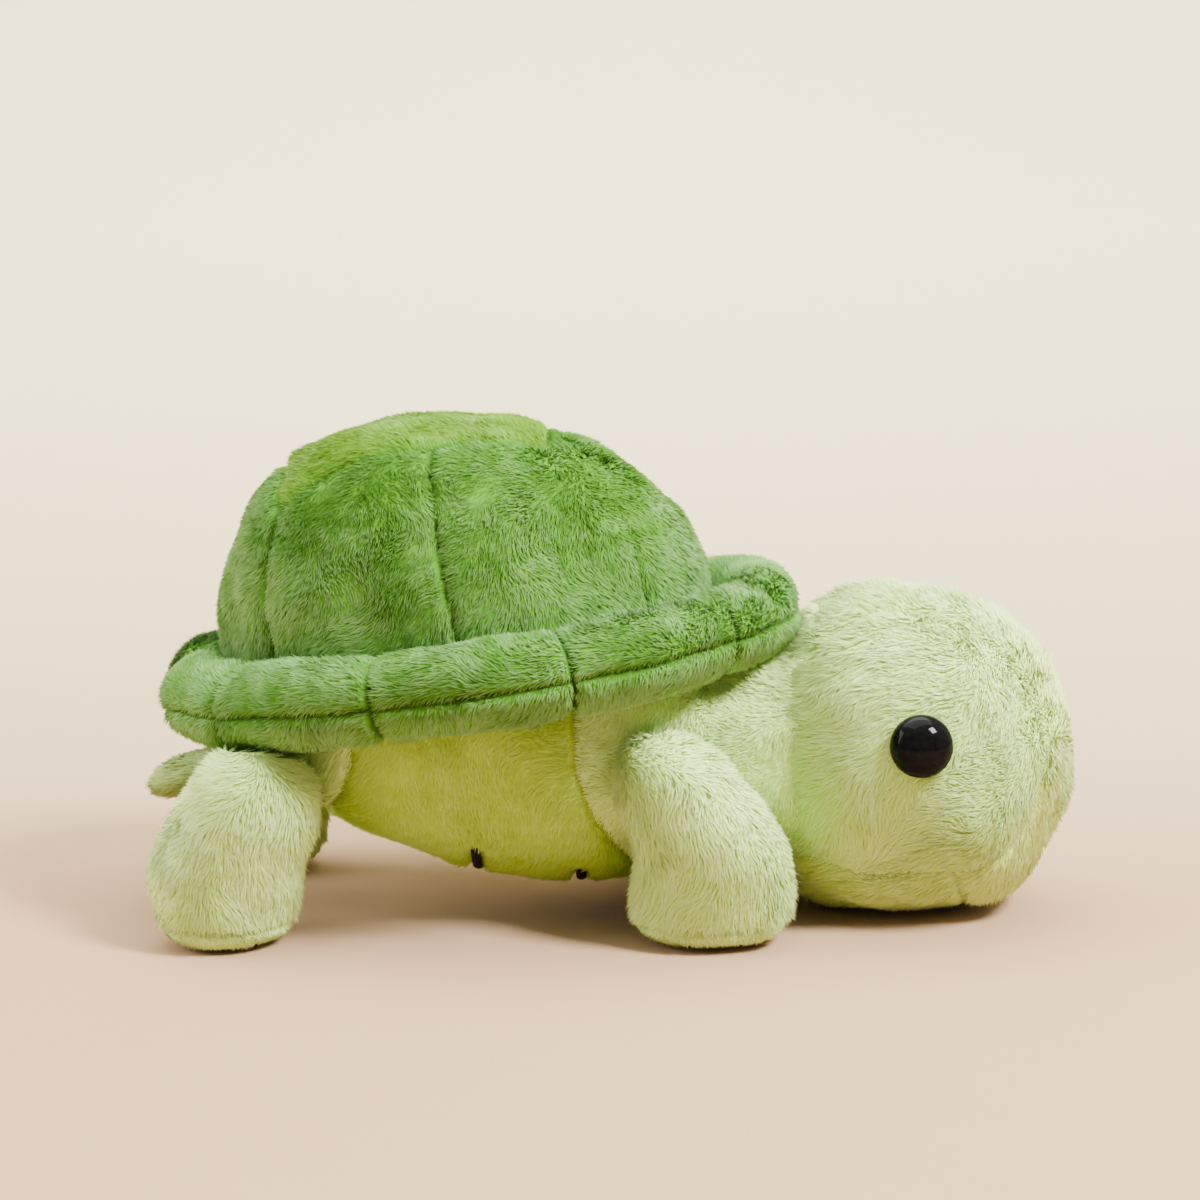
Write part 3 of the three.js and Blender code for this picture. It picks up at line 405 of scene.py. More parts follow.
def neck_surface(around, place):
    head = settings("head")
    drawn = 1 - NECK_WAIST * np.sin(place * math.pi)
    wide = (NECK_WIDTH + NECK_WIDTH_GAIN * place) * drawn
    tall = (NECK_HEIGHT + NECK_HEIGHT_GAIN * place) * drawn
    crown = np.clip((place - NECK_CROWN_START) / NECK_CROWN_SPAN, 0, 1)
    tall += NECK_CROWN * crown * (np.sin(around) > 0)
    middle = head.neck_z - NECK_OFFSET - NECK_DROP * place
    return np.stack([
        head.sleeve_rear + (head.sleeve_front - head.sleeve_rear) * place,
        wide * signed_power(np.cos(around), NECK_POWER),
        middle + tall * signed_power(np.sin(around), NECK_POWER)], -1)


def leg_surface(name, around, place):
    legs = settings("legs")
    end, side = name.split("_")
    x, height, half_length = (getattr(legs, end + part) for part in ("_x", "_height", "_length"))
    hand = 1 if side == "left" else -1
    upper = LEG_SHARES[end] * (height, 1, 1, 1)
    lower = np.column_stack([SOLE_SHARES * (legs.sole_edge, 1, 1), np.zeros(len(SOLE_SHARES))])
    rows = np.vstack([upper, lower])
    row = place * (len(rows) - 1)
    at = np.arange(len(rows))
    tall, long, wide, back = (np.interp(row, at, rows[:, k]) for k in range(4))
    return np.stack([
        x + half_length * (long * np.cos(around) - back),
        hand * (legs.y + legs.half_width * wide * np.sin(around)),
        tall], -1)


def tail_surface(around, place):
    tail = settings("tail")
    along = -np.cos(place * math.pi)
    size = np.maximum(1 - np.abs(along) ** tail.power, 0) ** (1 / tail.power)
    drop = math.tan(tail.drop) * along * tail.long
    return np.stack([
        tail.root_x - tail.long * along,
        tail.half_width * size * np.cos(around),
        tail.root_z - drop + tail.half_height * size * np.sin(around)], -1)


# Meshes

def grid_between(surface, around, along, first, last):
    """Rows of points round a form, from one value of the second number to another."""
    turns = np.arange(around) / around * 2 * math.pi
    places = np.linspace(first, last, along + 1)
    return surface(*np.meshgrid(turns, places))


def ring_faces(rows, around, wrap):
    faces = []
    for j in range(rows if wrap else rows - 1):
        a, b = j * around, (j + 1) % rows * around
        for i in range(around):
            k = (i + 1) % around
            faces.append((a + i, a + k, b + k, b + i))
    return faces


def closed_mesh(grid):
    """Points and faces of a form whose first and last rows each come to a point."""
    inner = grid[1:-1]
    rows, around = inner.shape[:2]
    points = [*inner.reshape(-1, 3), grid[0].mean(0), grid[-1].mean(0)]
    faces = ring_faces(rows, around, False)
    start, end, last = rows * around, rows * around + 1, (rows - 1) * around
    for i in range(around):
        k = (i + 1) % around
        faces.append((start, k, i))
        faces.append((end, last + i, last + k))
    return np.array(points), faces


def tube_mesh(grid):
    rows, around = grid.shape[:2]
    return grid.reshape(-1, 3), ring_faces(rows, around, True)


def placed(name, data):
    made = bpy.data.objects.new(name, data)
    bpy.context.scene.collection.objects.link(made)
    return made


def new_object(name, points, faces):
    mesh = bpy.data.meshes.new(name)
    mesh.from_pydata([tuple(point) for point in points], [], faces)
    shell = bmesh.new()
    shell.from_mesh(mesh)
    bmesh.ops.recalc_face_normals(shell, faces=shell.faces)
    shell.to_mesh(mesh)
    shell.free()
    mesh.shade_smooth()
    return placed(name, mesh)


def vectors_of(piece, kind):
    vectors = np.empty(len(piece.data.vertices) * 3, np.float32)
    piece.data.vertices.foreach_get(kind, vectors)
    return vectors.reshape(-1, 3).astype(float)


def points_of(piece):
    return vectors_of(piece, "co")


def normals_of(piece):
    return vectors_of(piece, "normal")


def set_points(piece, points):
    piece.data.vertices.foreach_set("co", points.astype(np.float32).ravel())
    piece.data.update()


def alone(piece):
    bpy.ops.object.select_all(action="DESELECT")
    piece.select_set(True)
    bpy.context.view_layer.objects.active = piece


def apply_all(piece):
    alone(piece)
    for modifier in list(piece.modifiers):
        bpy.ops.object.modifier_apply(modifier=modifier.name)


def tree_of_piece(piece):
    points = [Vector(point) for point in points_of(piece)]
    return BVHTree.FromPolygons(points, [tuple(face.vertices) for face in piece.data.polygons])


def waves(points, size, seed):
    """A smooth field between about -1 and 1, with lumps of about a size: a sum of sines."""
    draw = np.random.default_rng(seed)
    total = np.zeros(len(points))
    for _ in range(WAVE_COUNT):
        way = draw.normal(size=3)
        way *= 2 * math.pi / size / np.linalg.norm(way) * draw.uniform(0.35, 1)
        total += np.sin(points @ way + draw.uniform(0, 2 * math.pi))
    return total / math.sqrt(WAVE_COUNT) * WAVE_GAIN


def swell(piece):
    """Lets the filling push the cover out, by a cloth simulation that ends in the mesh."""
    cloth_settings = settings("cloth")
    before, outwards = points_of(piece), normals_of(piece)
    cloth = piece.modifiers.new("Filling", "CLOTH")
    cloth.settings.use_pressure = True
    cloth.settings.uniform_pressure_force = cloth_settings.pressure
    cloth.settings.effector_weights.gravity = 0
    cloth.settings.quality = SIM_QUALITY
    cloth.collision_settings.use_collision = False
    cloth.collision_settings.use_self_collision = False
    cloth.point_cache.frame_start = 1
    cloth.point_cache.frame_end = SIM_FRAMES
    for step in range(1, SIM_FRAMES + 1):
        bpy.context.scene.frame_set(step)
    apply_all(piece)
    bpy.context.scene.frame_set(1)
    moved = points_of(piece) - before
    size = np.linalg.norm(moved, axis=1, keepdims=True)
    moved *= np.minimum(1, cloth_settings.swell / np.maximum(size, 1e-9))
    risen = np.sum(moved * outwards, axis=1).mean()
    set_points(piece, before + moved + outwards * (cloth_settings.swell - risen))


def refine(piece):
    finer = piece.modifiers.new("Smooth", "SUBSURF")
    finer.levels = finer.render_levels = REFINE_LEVELS
    apply_all(piece)


def turned(points, pivot, degrees):
    c, s = math.cos(math.radians(degrees)), math.sin(math.radians(degrees))
    x, z = points[:, 0] - pivot[0], points[:, 2] - pivot[1]
    return np.column_stack([pivot[0] + x * c + z * s, points[:, 1], pivot[1] - x * s + z * c])


def cleared(points, trees, pivot=(0, 0), degrees=(0,)):
    """Moves points out of other forms, also where a turn about a pivot would take them."""
    for turn in degrees:
        there = turned(points, pivot, turn)
        for tree in trees:
            for k, point in enumerate(there):
                near, normal, _, distance = tree.find_nearest(point)
                over = (Vector(point) - near).dot(normal)
                if over < CLEARANCE and (distance < CLEARANCE or over < 0):
                    there[k] = near + normal * CLEARANCE
        points = turned(there, pivot, -turn)
    return points


def panels_near(points, names):
    """For each point the index of the nearest CAD panel, its distance, and the seam's."""
    distance = np.full((len(names), len(points)), 1.0)
    for row, name in enumerate(names):
        node = NODES[name]
        tree = tree_of_piece(node)
        low, high = (np.array(corner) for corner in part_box(name))
        beside = np.all((points > low - PANEL_REACH) & (points < high + PANEL_REACH), axis=1)
        for k in np.flatnonzero(beside):
            distance[row, k] = tree.find_nearest(points[k])[3]
    order = np.sort(distance, axis=0)
    second = order[1] if len(names) > 1 else np.ones(len(points))
    seam = np.sqrt(np.maximum(second ** 2 - order[0] ** 2, 0))
    return distance.argmin(axis=0), order[0], seam


def set_values(piece, name, values):
    kept = piece.data.attributes.get(name) or piece.data.attributes.new(name, "FLOAT", "POINT")
    kept.data.foreach_set("value", values.astype(np.float32))


def values_of(piece, name):
    values = np.empty(len(piece.data.vertices), np.float32)
    piece.data.attributes[name].data.foreach_get("value", values)
    return values


def stuffed(name, mesh, skins, stuffing, body, finish, seed, clear=None, seams=True):
    """A stuffed form: swollen, smoothed, kept clear of its neighbours, lumpy and seamed."""
    cloth = settings("cloth")
    lowest = cloth.sink / 4
    piece = new_object(name, *mesh)
    set_points(piece, points_of(piece) - normals_of(piece) * (cloth.sink + cloth.swell))
    swell(piece)
    refine(piece)
    points = points_of(piece)
    points += normals_of(piece) * (cloth.lump * waves(points, LUMP_SIZE, seed))[:, None]
    if clear:
        points = cleared(points, *clear)
    points[:, 2] = np.maximum(points[:, 2], lowest)
    set_points(piece, points)
    panel, off, seam = panels_near(points, skins)
    if seams:
        pull = np.exp(-(seam / cloth.seam_width) ** 2) * cloth.seam_depth
        pull += np.exp(-(seam / SHOULDER_WIDTH) ** 2) * cloth.seam_depth * SHOULDER_SHARE
        points -= normals_of(piece) * pull[:, None]
        points[:, 2] = np.maximum(points[:, 2], lowest)
        set_points(piece, points)
    set_values(piece, "panel", panel)
    set_values(piece, "off", off)
    set_values(piece, "seam", seam)
    piece["skins"] = skins
    piece.data.materials.append(material("cover_" + ("torso" if name == "torso" else finish)))
    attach(piece, body)
    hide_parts(*skins, *stuffing)
    return piece


def carry(piece, body):
    """Rides on one body; a piece on the neck rides on none, and only has its placement baked into
    its mesh.
    """
    if body != "neck":
        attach(piece, body)
        return
    head = settings("head")
    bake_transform(piece)


# Shader maths

class Value:
    """A socket, or a number, that Python's operators join into maths nodes."""

    def __init__(self, tree, socket):
        self.tree = tree
        self.socket = socket

    def node(self, kind, options=None, output=0, **inputs):
        """A new node's output. Inputs go by name, or by number as i0, i1 and so on."""
        made = self.tree.nodes.new(kind)
        for key, value in (options or {}).items():
            setattr(made, key, value)
        for key, value in inputs.items():
            spot = made.inputs[int(key[1:]) if key[1:].isdigit() else key.replace("_", " ")]
            if isinstance(value, Value):
                self.tree.links.new(value.socket, spot)
            else:
                spot.default_value = value
        return Value(self.tree, made.outputs[output])

    def maths(self, operation, first, second=0.0):
        return self.node("ShaderNodeMath", {"operation": operation}, i0=first, i1=second)

    def __add__(self, other):
        return self.maths("ADD", self, other)

    def __sub__(self, other):
        return self.maths("SUBTRACT", self, other)

    def __mul__(self, other):
        return self.maths("MULTIPLY", self, other)

    def __pow__(self, other):
        return self.maths("POWER", self, other)

    def mixed(self, low, high):
        """A colour between two, by this value."""
        low, high = (end if isinstance(end, Value) else (*end, 1) for end in (low, high))
        return self.node("ShaderNodeMix", {"data_type": "RGBA", "clamp_factor": True}, 2,
                         i0=self, i6=low, i7=high)


def new_material(name, **plain):
    """A material with its shader's plain values set, and a Value to start maths from."""
    made = bpy.data.materials.new(name)
    made.use_nodes = True
    shader = made.node_tree.nodes["Principled BSDF"]
    for key, value in plain.items():
        shader.inputs[key.replace("_", " ")].default_value = value
    return made, shader, Value(made.node_tree, None)


def join(value, shader, socket):
    shader.id_data.links.new(value.socket, shader.inputs[socket])


def darker(tone, by):
    return tuple(part * by for part in tone)


def blended(first, second, amount):
    return tuple(a + (b - a) * amount for a, b in zip(first, second))


def speckle(start, scale, detail):
    """Noise on an object's own coordinates."""
    place = start.node("ShaderNodeTexCoord", output=OBJECT_SPACE)
    return start.node("ShaderNodeTexNoise", Vector=place, Scale=scale, Detail=detail)


def split(start, vector):
    """The three numbers of a vector, each as a Value."""
    outputs = start.node("ShaderNodeSeparateXYZ", Vector=vector).socket.node.outputs
    return [Value(start.tree, output) for output in outputs]


def ramp(start, value, first, last, low=0.0, high=1.0):
    return start.node("ShaderNodeMapRange", {"clamp": True}, Value=value, From_Min=first,
                      From_Max=last, To_Min=low, To_Max=high)


def bumped(start, shader, height, strength, distance):
    bump = start.node("ShaderNodeBump", Strength=strength, Distance=distance, Height=height)
    join(bump, shader, "Normal")


# The backing's darkest and lightest share of its colour, painted shade down among the tufts, the
# share in a seam, painted shade in its groove, and between which distances from a seam it changes
COVER_DARK, COVER_LIGHT = 0.6, 0.8
GROOVE_PAINTED_SHADE, SHELL_GROOVE_PAINTED_SHADE, GROOVE_PAINTED_SHADE_RAMP = 0.4, 0.12, (0.0003, 0.0022)


def cover_material(name, tone, beside=None):
    """The knitted backing that shows between the tufts, with painted shade: darker than its colour
    among the tufts and darker still in the seams.
    """
    made, shader, start = new_material("cover_" + name, Roughness=0.95, Specular_IOR_Level=0.2)
    mottle = speckle(start, 55.0, 2.0)
    seam = start.node("ShaderNodeAttribute", {"attribute_name": "seam"}, output=2)
    light = mottle.mixed(darker(tone, COVER_DARK), darker(tone, COVER_LIGHT))
    if beside:
        panel = start.node("ShaderNodeAttribute", {"attribute_name": "panel"}, output=2)
        ends = (panel - 1.0) ** 2.0
        light = ends.mixed(light, mottle.mixed(
            darker(beside, COVER_DARK), darker(beside, COVER_LIGHT)))
    # The seam's darker colour is painted shade in its groove
    groove = darker(tone, SHELL_GROOVE_PAINTED_SHADE if name == "shell" else GROOVE_PAINTED_SHADE)
    join(ramp(start, seam, *GROOVE_PAINTED_SHADE_RAMP).mixed(groove, light), shader, "Base Color")
    bumped(start, shader, speckle(start, 900.0, 3.0), 0.5, 0.0003)
    return made


# For each finish: the share of its colour at a tuft's root, partly the pile's own darker roots and
# partly painted shade deep in the pile, how much its tip is bleached, and the share of its light
# that the darkest tufts have, whose tone also carries the painted light and shade
SHELL_LOOK = ((0.55, 0.68, 0.38), 0.17, 0.5)
BELLY_LOOK = ((0.55, 0.68, 0.38), 0.17, 0.74)
PALE_LOOK = ((0.78, 0.9, 0.5), 0.32, 0.82)
PILE_LOOKS = {"shell": SHELL_LOOK, "shell_top": SHELL_LOOK, "belly": BELLY_LOOK,
              "tail": BELLY_LOOK, "pale": PALE_LOOK, "face": PALE_LOOK}
# Below the crown the face's gusset is painted yellower: painted warm bounce light
CROWN_RAMP = (0.055, 0.078)  # heights between which the face's gusset turns to the crown's tone


def pile_material(name, tone, crown=None):
    """Tufts: saturated and darker at the root, partly the pile's own colour and partly painted
    shade deep in the pile, paler at the tip, and each with its own tone, which also carries
    painted light and shade.
    """
    made, shader, start = new_material("pile_" + name, Roughness=0.85, Specular_IOR_Level=0.2)
    place = start.node("ShaderNodeUVMap", {"uv_map": "OFBake"})
    own, along, _ = split(start, place)
    along = along ** 0.8
    depth, bleach, shade = PILE_LOOKS[name]

    def strand(middle):
        root = tuple(part * by for part, by in zip(middle, depth))
        tip = blended(middle, (1, 1, 0.8), bleach)
        dark = along.mixed(darker(root, shade), darker(middle, shade + 0.08))
        return own.mixed(dark, along.mixed(root, tip))

    tint = strand(tone)
    # The face below the crown keeps its yellower painted bounce light; the crown takes the head's
    # pale tone
    if crown:
        high = split(start, start.node("ShaderNodeTexCoord", output=OBJECT_SPACE))[2]
        tint = ramp(start, high, *CROWN_RAMP).mixed(tint, strand(crown))
    join(tint, shader, "Base Color")
    return made


def thread_material(name, tone):
    made, shader, start = new_material(name, Roughness=0.7, Specular_IOR_Level=0.2)
    twist = speckle(start, 1800.0, 2.0)
    join(twist.mixed(darker(tone, 0.4), blended(tone, (0.1, 0.1, 0.1), 0.1)), shader,
         "Base Color")
    bumped(start, shader, twist, 0.4, 0.0001)
    return made


def eye_material(tone):
    made, shader, start = new_material("eye_gloss")
    shader.inputs["IOR"].default_value = 1.3
    shader.inputs["Specular IOR Level"].default_value = 0.14
    dust = speckle(start, 600.0, 4.0)
    join(dust.mixed(darker(tone, 0.8), blended(tone, (0.02, 0.02, 0.02), 0.3)), shader,
         "Base Color")
    join(dust * 0.05 + 0.04, shader, "Roughness")
    return made


def plain_material(name, tone, roughness, size):
    made, shader, start = new_material(name)
    grain = speckle(start, size, 4.0)
    join(grain.mixed(darker(tone, 0.85), tone), shader, "Base Color")
    join(grain * 0.1 + roughness, shader, "Roughness")
    bumped(start, shader, grain, 0.2, 0.0002)
    return made


def paper_material(wall_with_painted_light, floor_with_painted_shade):
    """Paper that turns from the floor's tone to the wall's: one sheet, painted darker on the floor
    as shade and lighter up the wall as light.
    """
    made, shader, start = new_material("paper", Roughness=0.9, Specular_IOR_Level=0.1)
    back = split(start, start.node("ShaderNodeTexCoord", output=OBJECT_SPACE))[1]
    mottled = speckle(start, 40.0, 4.0).mixed(darker(floor_with_painted_shade, 0.97), floor_with_painted_shade)
    join(ramp(start, back, 0.0, 1.3).mixed(mottled, wall_with_painted_light), shader, "Base Color")
    return made


def material(name):
    """Each finish is made once, when a piece first needs it."""
    if name in bpy.data.materials:
        return bpy.data.materials[name]
    tones = settings("colours")
    pale = tuple(tones.pale)
    kind, _, finish = name.partition("_")
    if finish == "torso":
        return cover_material(finish, tuple(tones.belly), beside=pale)
    tone = tuple(getattr(tones, finish))
    if kind == "cover":
        return cover_material(finish, tone)
    return pile_material(finish, tone, crown=pale if finish == "face" else None)


# Pile

def unit(vectors):
    return vectors / np.maximum(np.linalg.norm(vectors, axis=1, keepdims=True), 1e-12)


def seeds_on(piece, chosen, weight, density, draw):
    """Places on some of a piece's triangles, spread evenly and thinned by a weight."""
    mesh = piece.data
    mesh.calc_loop_triangles()
    corners = np.empty(len(mesh.loop_triangles) * 3, np.int32)
    mesh.loop_triangles.foreach_get("vertices", corners)
    corners = corners.reshape(-1, 3)
    corners = corners[chosen[corners[:, 0]]]
    points, normals = points_of(piece), normals_of(piece)
    a, b, c = (points[corners[:, k]] for k in range(3))
    area = np.linalg.norm(np.cross(b - a, c - a), axis=1) / 2 * weight[corners].mean(axis=1)
    count = int(area.sum() * 1e6 * density)
    if not count:
        return None
    triangle = np.searchsorted(np.cumsum(area) / area.sum(), draw.random(count))
    triangle = np.minimum(triangle, len(corners) - 1)
    u, v = np.sqrt(draw.random(count)), draw.random(count)
    mix = np.column_stack([1 - u, u * (1 - v), u * v])
    picked = corners[triangle]

    def spread(values):
        return np.einsum("nk,nk...->n...", mix, values[picked])

    return spread(points), unit(spread(normals)), spread


def tufts(name, places, normals, ways, long, radius, tone, draw):
    """One piece of closed three-sided tufts, each with its own place on the pile's UV map."""
    count = len(places)
    across = unit(np.cross(normals, ways))
    spin = draw.random(count) * 2 * math.pi
    points = np.empty((count, 4, 3))
    shading = np.empty((count, 4, 3))
    root = places - normals * radius[:, None]
    for k in range(3):
        turn = spin + k * 2 * math.pi / 3
        out = across * np.cos(turn)[:, None] + np.cross(ways, across) * np.sin(turn)[:, None]
        points[:, k] = root + out * radius[:, None]
        shading[:, k] = unit(normals + out * ROOT_ROUND)
    points[:, 3] = root + ways * long[:, None]
    shading[:, 3] = unit(normals * TIP_UP + ways * TIP_ALONG)
    faces = np.array([(0, 1, 3), (1, 2, 3), (2, 0, 3), (0, 2, 1)])
    loops = (np.arange(count)[:, None, None] * 4 + faces).ravel()
    mesh = bpy.data.meshes.new(name)
    mesh.vertices.add(count * 4)
    mesh.vertices.foreach_set("co", points.astype(np.float32).ravel())
    mesh.loops.add(len(loops))
    mesh.loops.foreach_set("vertex_index", loops.astype(np.int32))
    mesh.polygons.add(count * 4)
    mesh.polygons.foreach_set("loop_start", np.arange(0, len(loops), 3, dtype=np.int32))
    mesh.update(calc_edges=True)
    mesh.shade_smooth()
    spots = np.array([[(-1, 0), (1, 0), (0, 1)]] * 3 + [[(-1, 0), (1, 0), (0, 0.02)]], float)
    uv = np.empty((count, 4, 3, 2))
    uv[..., 0] = tone[:, None, None] + spots[None, ..., 0] * UV_HALF_WIDTH
    uv[..., 1] = UV_ROOT + spots[None, ..., 1] * UV_LENGTH
    layer = mesh.uv_layers.new(name="OFBake")
    layer.data.foreach_set("uv", uv.astype(np.float32).ravel())
    mesh.normals_split_custom_set_from_vertices(shading.reshape(-1, 3).tolist())
    return placed(name, mesh)


def varied(places, seed, kinds):
    return sum(waves(places, size, seed * 10 + kind) * by for size, kind, by in kinds)


def grow(piece, finishes, way_at, long, hidden, body, seed, along=None, lift=None, reach=0.0045):
    """Grows each panel's pile on a form. way_at gives the direction in which the pile lies, and
    may be a list with one for each panel. along gives the run of the stitches and lift the
    painted light and shade added to the tufts' tone at a place, and reach is how far the form may
    be from its CAD panels."""
    pile = settings("pile")
    panel = values_of(piece, "panel")
    seam = values_of(piece, "seam")
    shown = (values_of(piece, "off") < reach) & ~hidden
    facing = np.where(normals_of(piece)[:, 2] < UNDERSIDE, pile.underneath, 1.0)
    for index, skin in enumerate(piece["skins"]):
        draw = np.random.default_rng(seed * 100 + index)
        found = seeds_on(piece, panel == index, shown * facing, pile.density, draw)
        if found is None:
            continue
        places, normals, spread = found
        apart = spread(seam)
        gap = GAP if along is None else GAP + STITCH_GAP * np.clip(
            np.sin(along(places) * 2 * math.pi / STITCH_PITCH) + 0.3, 0, 1)
        kept = apart > gap * draw.uniform(*GAP_SPREAD, len(apart))
        places, normals, apart = places[kept], normals[kept], apart[kept]
        count = len(places)
        lie = way_at[index] if isinstance(way_at, list) else way_at
        aim = unit(lie(places, normals))
        flow = varied(places, seed, FLOW_WAVES) + draw.normal(size=count) * FLOW_SPREAD
        flat = unit(aim - normals * np.sum(aim * normals, axis=1)[:, None])
        side = np.cross(normals, flat)
        flat = flat * np.cos(flow)[:, None] + side * np.sin(flow)[:, None]
        lean = pile.lean + varied(places, seed, LEAN_WAVES) + draw.normal(size=count) * LEAN_SPREAD
        lean = np.clip(lean, *LEAN_LIMITS)
        ways = normals * np.cos(lean)[:, None] + flat * np.sin(lean)[:, None]
        size = long * draw.uniform(*LENGTH_SPREAD, count)
        size *= 1 + varied(places, seed, LENGTH_WAVES)
        size *= SEAM_LENGTH + (1 - SEAM_LENGTH) * np.clip(apart / (0.8 * long), 0, 1)
        size *= np.clip(places[:, 2] / FLOOR_HEIGHT, FLOOR_LENGTH, 1)
        ways[:, 2] = np.where(places[:, 2] + ways[:, 2] * size < FLOOR_TIP,
                              np.maximum(ways[:, 2], 0), ways[:, 2])
        radius = pile.radius * draw.uniform(*RADIUS_SPREAD, count)
        tone = 0.5 + varied(places, seed, TONE_WAVES) + draw.normal(size=count) * TONE_SPREAD
        # lift adds painted light and shade to the tufts' tone
        if lift:
            tone += lift(places)
        # Tufts by a seam are painted darker: painted shade in its groove
        tone -= SEAM_PAINTED_SHADE * np.exp(-(apart / SEAM_PAINTED_SHADE_WIDTH) ** 2)
        tone = np.clip(tone, *TONE_LIMITS)
        made = tufts("pile_" + skin, places, normals, ways, size, radius, tone, draw)
        finish = finishes[index] if isinstance(finishes, list) else finishes
        made.data.materials.append(material("pile_" + finish))
        carry(made, body)


def buried(piece, others):
    """Which of a form's points lie inside another form."""
    points = points_of(piece)
    inside = np.zeros(len(points), bool)
    way = Vector((0.13, 0.29, 0.95))  # any direction that runs along no edge of a grid
    for name in others:
        other = bpy.data.objects[name]
        tree = tree_of_piece(other)
        spots = points_of(other)
        low, high = spots.min(0), spots.max(0)
        for k in np.flatnonzero(np.all((points > low) & (points < high), axis=1) & ~inside):
            normal = tree.ray_cast(points[k], way)[1]
            inside[k] = normal is not None and normal.dot(way) > 0
    return inside


def grown(name, covers, finishes, way_at, long, body, seed, **more):
    """Grows the pile of a form, but not where another form covers it or a line lies."""
    form = bpy.data.objects[name]
    hidden = buried(form, covers)
    if name == "torso":
        hidden |= values_of(form, "bare") > 0.5
    grow(form, finishes, way_at, long, hidden, body, seed, **more)


def steady(*way):
    return lambda places, normals: np.tile(way, (len(places), 1)).astype(float)


def brim_way(places, normals):
    """Round the brim on its upper strips, down on its lower ones."""
    x, y, z = toy_to_rim(places)
    along = np.column_stack([-y, x, np.zeros(len(x))]) * np.sign(y + 1e-9)[:, None]
    upper = np.clip(z / TURN_HEIGHT + 0.5, 0, 1)[:, None]
    return unit(along) * (0.25 + 0.75 * upper) + np.array([0, 0, -1]) * (1.25 - upper)


def head_way(places, normals):
    """Back along the head, and outwards from a middle on its front."""
    ahead = np.clip(normals[:, 0], 0, 1)[:, None]
    outwards = (places - (0, 0, FACE_HEIGHT)) / FACE_SPREAD
    return np.array(BACK) + ahead * outwards * (0, 1, 1)


# Painted shade on the dome's top and painted light lower down, added to the tufts' tone
def dome_lift(places):
    return DOME_PAINTED_SHADING * np.clip((DOME_PAINTED_SHADING_HEIGHT - places[:, 2]) / DOME_PAINTED_SHADING_SPAN, -1, 1)


# Painted light on the brim's lower strips, which lie in shade
def brim_lift(places):
    return BRIM_PAINTED_LIGHT * np.clip(-toy_to_rim(places)[2] / BRIM_PAINTED_LIGHT_SPAN, 0, 1)


def stitch_run(places):
    x, y, z = toy_to_rim(places)
    return np.arctan2(y, x) * STITCH_TURN + z * STITCH_RISE


# Operators

def brim_mesh():
    turns, sections = (
        np.arange(count) / count * 2 * math.pi for count in (BRIM_AROUND, BRIM_SECTION))
    return tube_mesh(roll_surface(*np.meshgrid(turns, sections, indexing="ij")))


def torso_mesh():
    return closed_mesh(grid_between(torso_surface, TORSO_AROUND, TORSO_ALONG, 0, 1))


def fixed_trees():
    """The brim's and the torso's forms, for keeping what moves clear of them."""
    trees = []
    for points, faces in (brim_mesh(), torso_mesh()):
        made = new_object("fixed", points, faces)
        trees.append(tree_of_piece(made))
        bpy.data.objects.remove(made)
    return trees


class TURTLE_OT_brim(bpy.types.Operator):
    """Stuffed roll round the shell, in ten upper and ten lower strips"""
    bl_idname = "turtle.brim"
    bl_label = "Brim"

    def execute(self, context):
        skins = [f"brim_{half}_{k}" for half in ("upper", "lower") for k in range(1, 11)]
        stuffed("brim", brim_mesh(), skins, ["brim_stuffing"], "torso", "shell", 11)
        return {"FINISHED"}


class TURTLE_OT_dome(bpy.types.Operator):
    """Stuffed dome of the shell, with six side panels and a top panel"""
    bl_idname = "turtle.dome"
    bl_label = "Dome"

    def execute(self, context):
        shell = settings("shell")
        grid = grid_between(dome_surface, DOME_AROUND, DOME_RISE, DOME_START, math.pi / 2)
        x, y, z = toy_to_rim(grid)
        grid = rim_to_toy(x, y, np.maximum(z, -shell.dome_foot))
        skins = ["shell_panel_top", *("shell_panel_" + side for side in SHELL_SIDES)]
        mesh = closed_mesh(np.concatenate([grid[:1], grid]))
        stuffed("dome", mesh, skins, ["shell_stuffing"], "torso", "shell", 12)
        return {"FINISHED"}


class TURTLE_OT_torso(bpy.types.Operator):
    """Stuffed torso with the rump, belly and chest panels"""
    bl_idname = "turtle.torso"
    bl_label = "Torso"

    def execute(self, context):
        skins = ["rump_panel", "belly_panel", "chest_panel"]
        piece = stuffed("torso", torso_mesh(), skins, ["body_stuffing"], "torso", "belly", 13)
        points = points_of(piece)
        bare = np.zeros(len(points))
        torso = settings("torso")
        for middle, reach in BELLY_LINES.values():
            angles = np.degrees(np.arctan2(np.abs(points[:, 1]), torso.waist_z - points[:, 2]))
            past = np.maximum(angles - reach, 0) * LINE_FADE
            apart = np.hypot(points[:, 0] - middle, past)
            bare = np.maximum(bare, apart < torso.line_width * LINE_BARE)
            pull = torso.line_pull * np.exp(-(apart / NOTCH_WIDTH) ** 2)
            points -= normals_of(piece) * pull[:, None]
        set_points(piece, points)
        set_values(piece, "bare", bare)
        return {"FINISHED"}


class TURTLE_OT_head(bpy.types.Operator):
    """Stuffed head with two side panels, a face gusset and a chin gusset"""
    bl_idname = "turtle.head"
    bl_label = "Head"

    def execute(self, context):
        head = settings("head")
        grid = grid_between(head_surface, HEAD_AROUND, HEAD_ACROSS, -math.pi / 2, math.pi / 2)
        skins = ["head_side_right", "head_side_left", "head_gusset", "chin_gusset"]
        clear = (fixed_trees(), (head.neck_x, head.neck_z), NECK_RANGE)
        stuffed("head", closed_mesh(grid), skins, ["head_stuffing"], "head", "pale", 14,
                clear=clear)
        return {"FINISHED"}


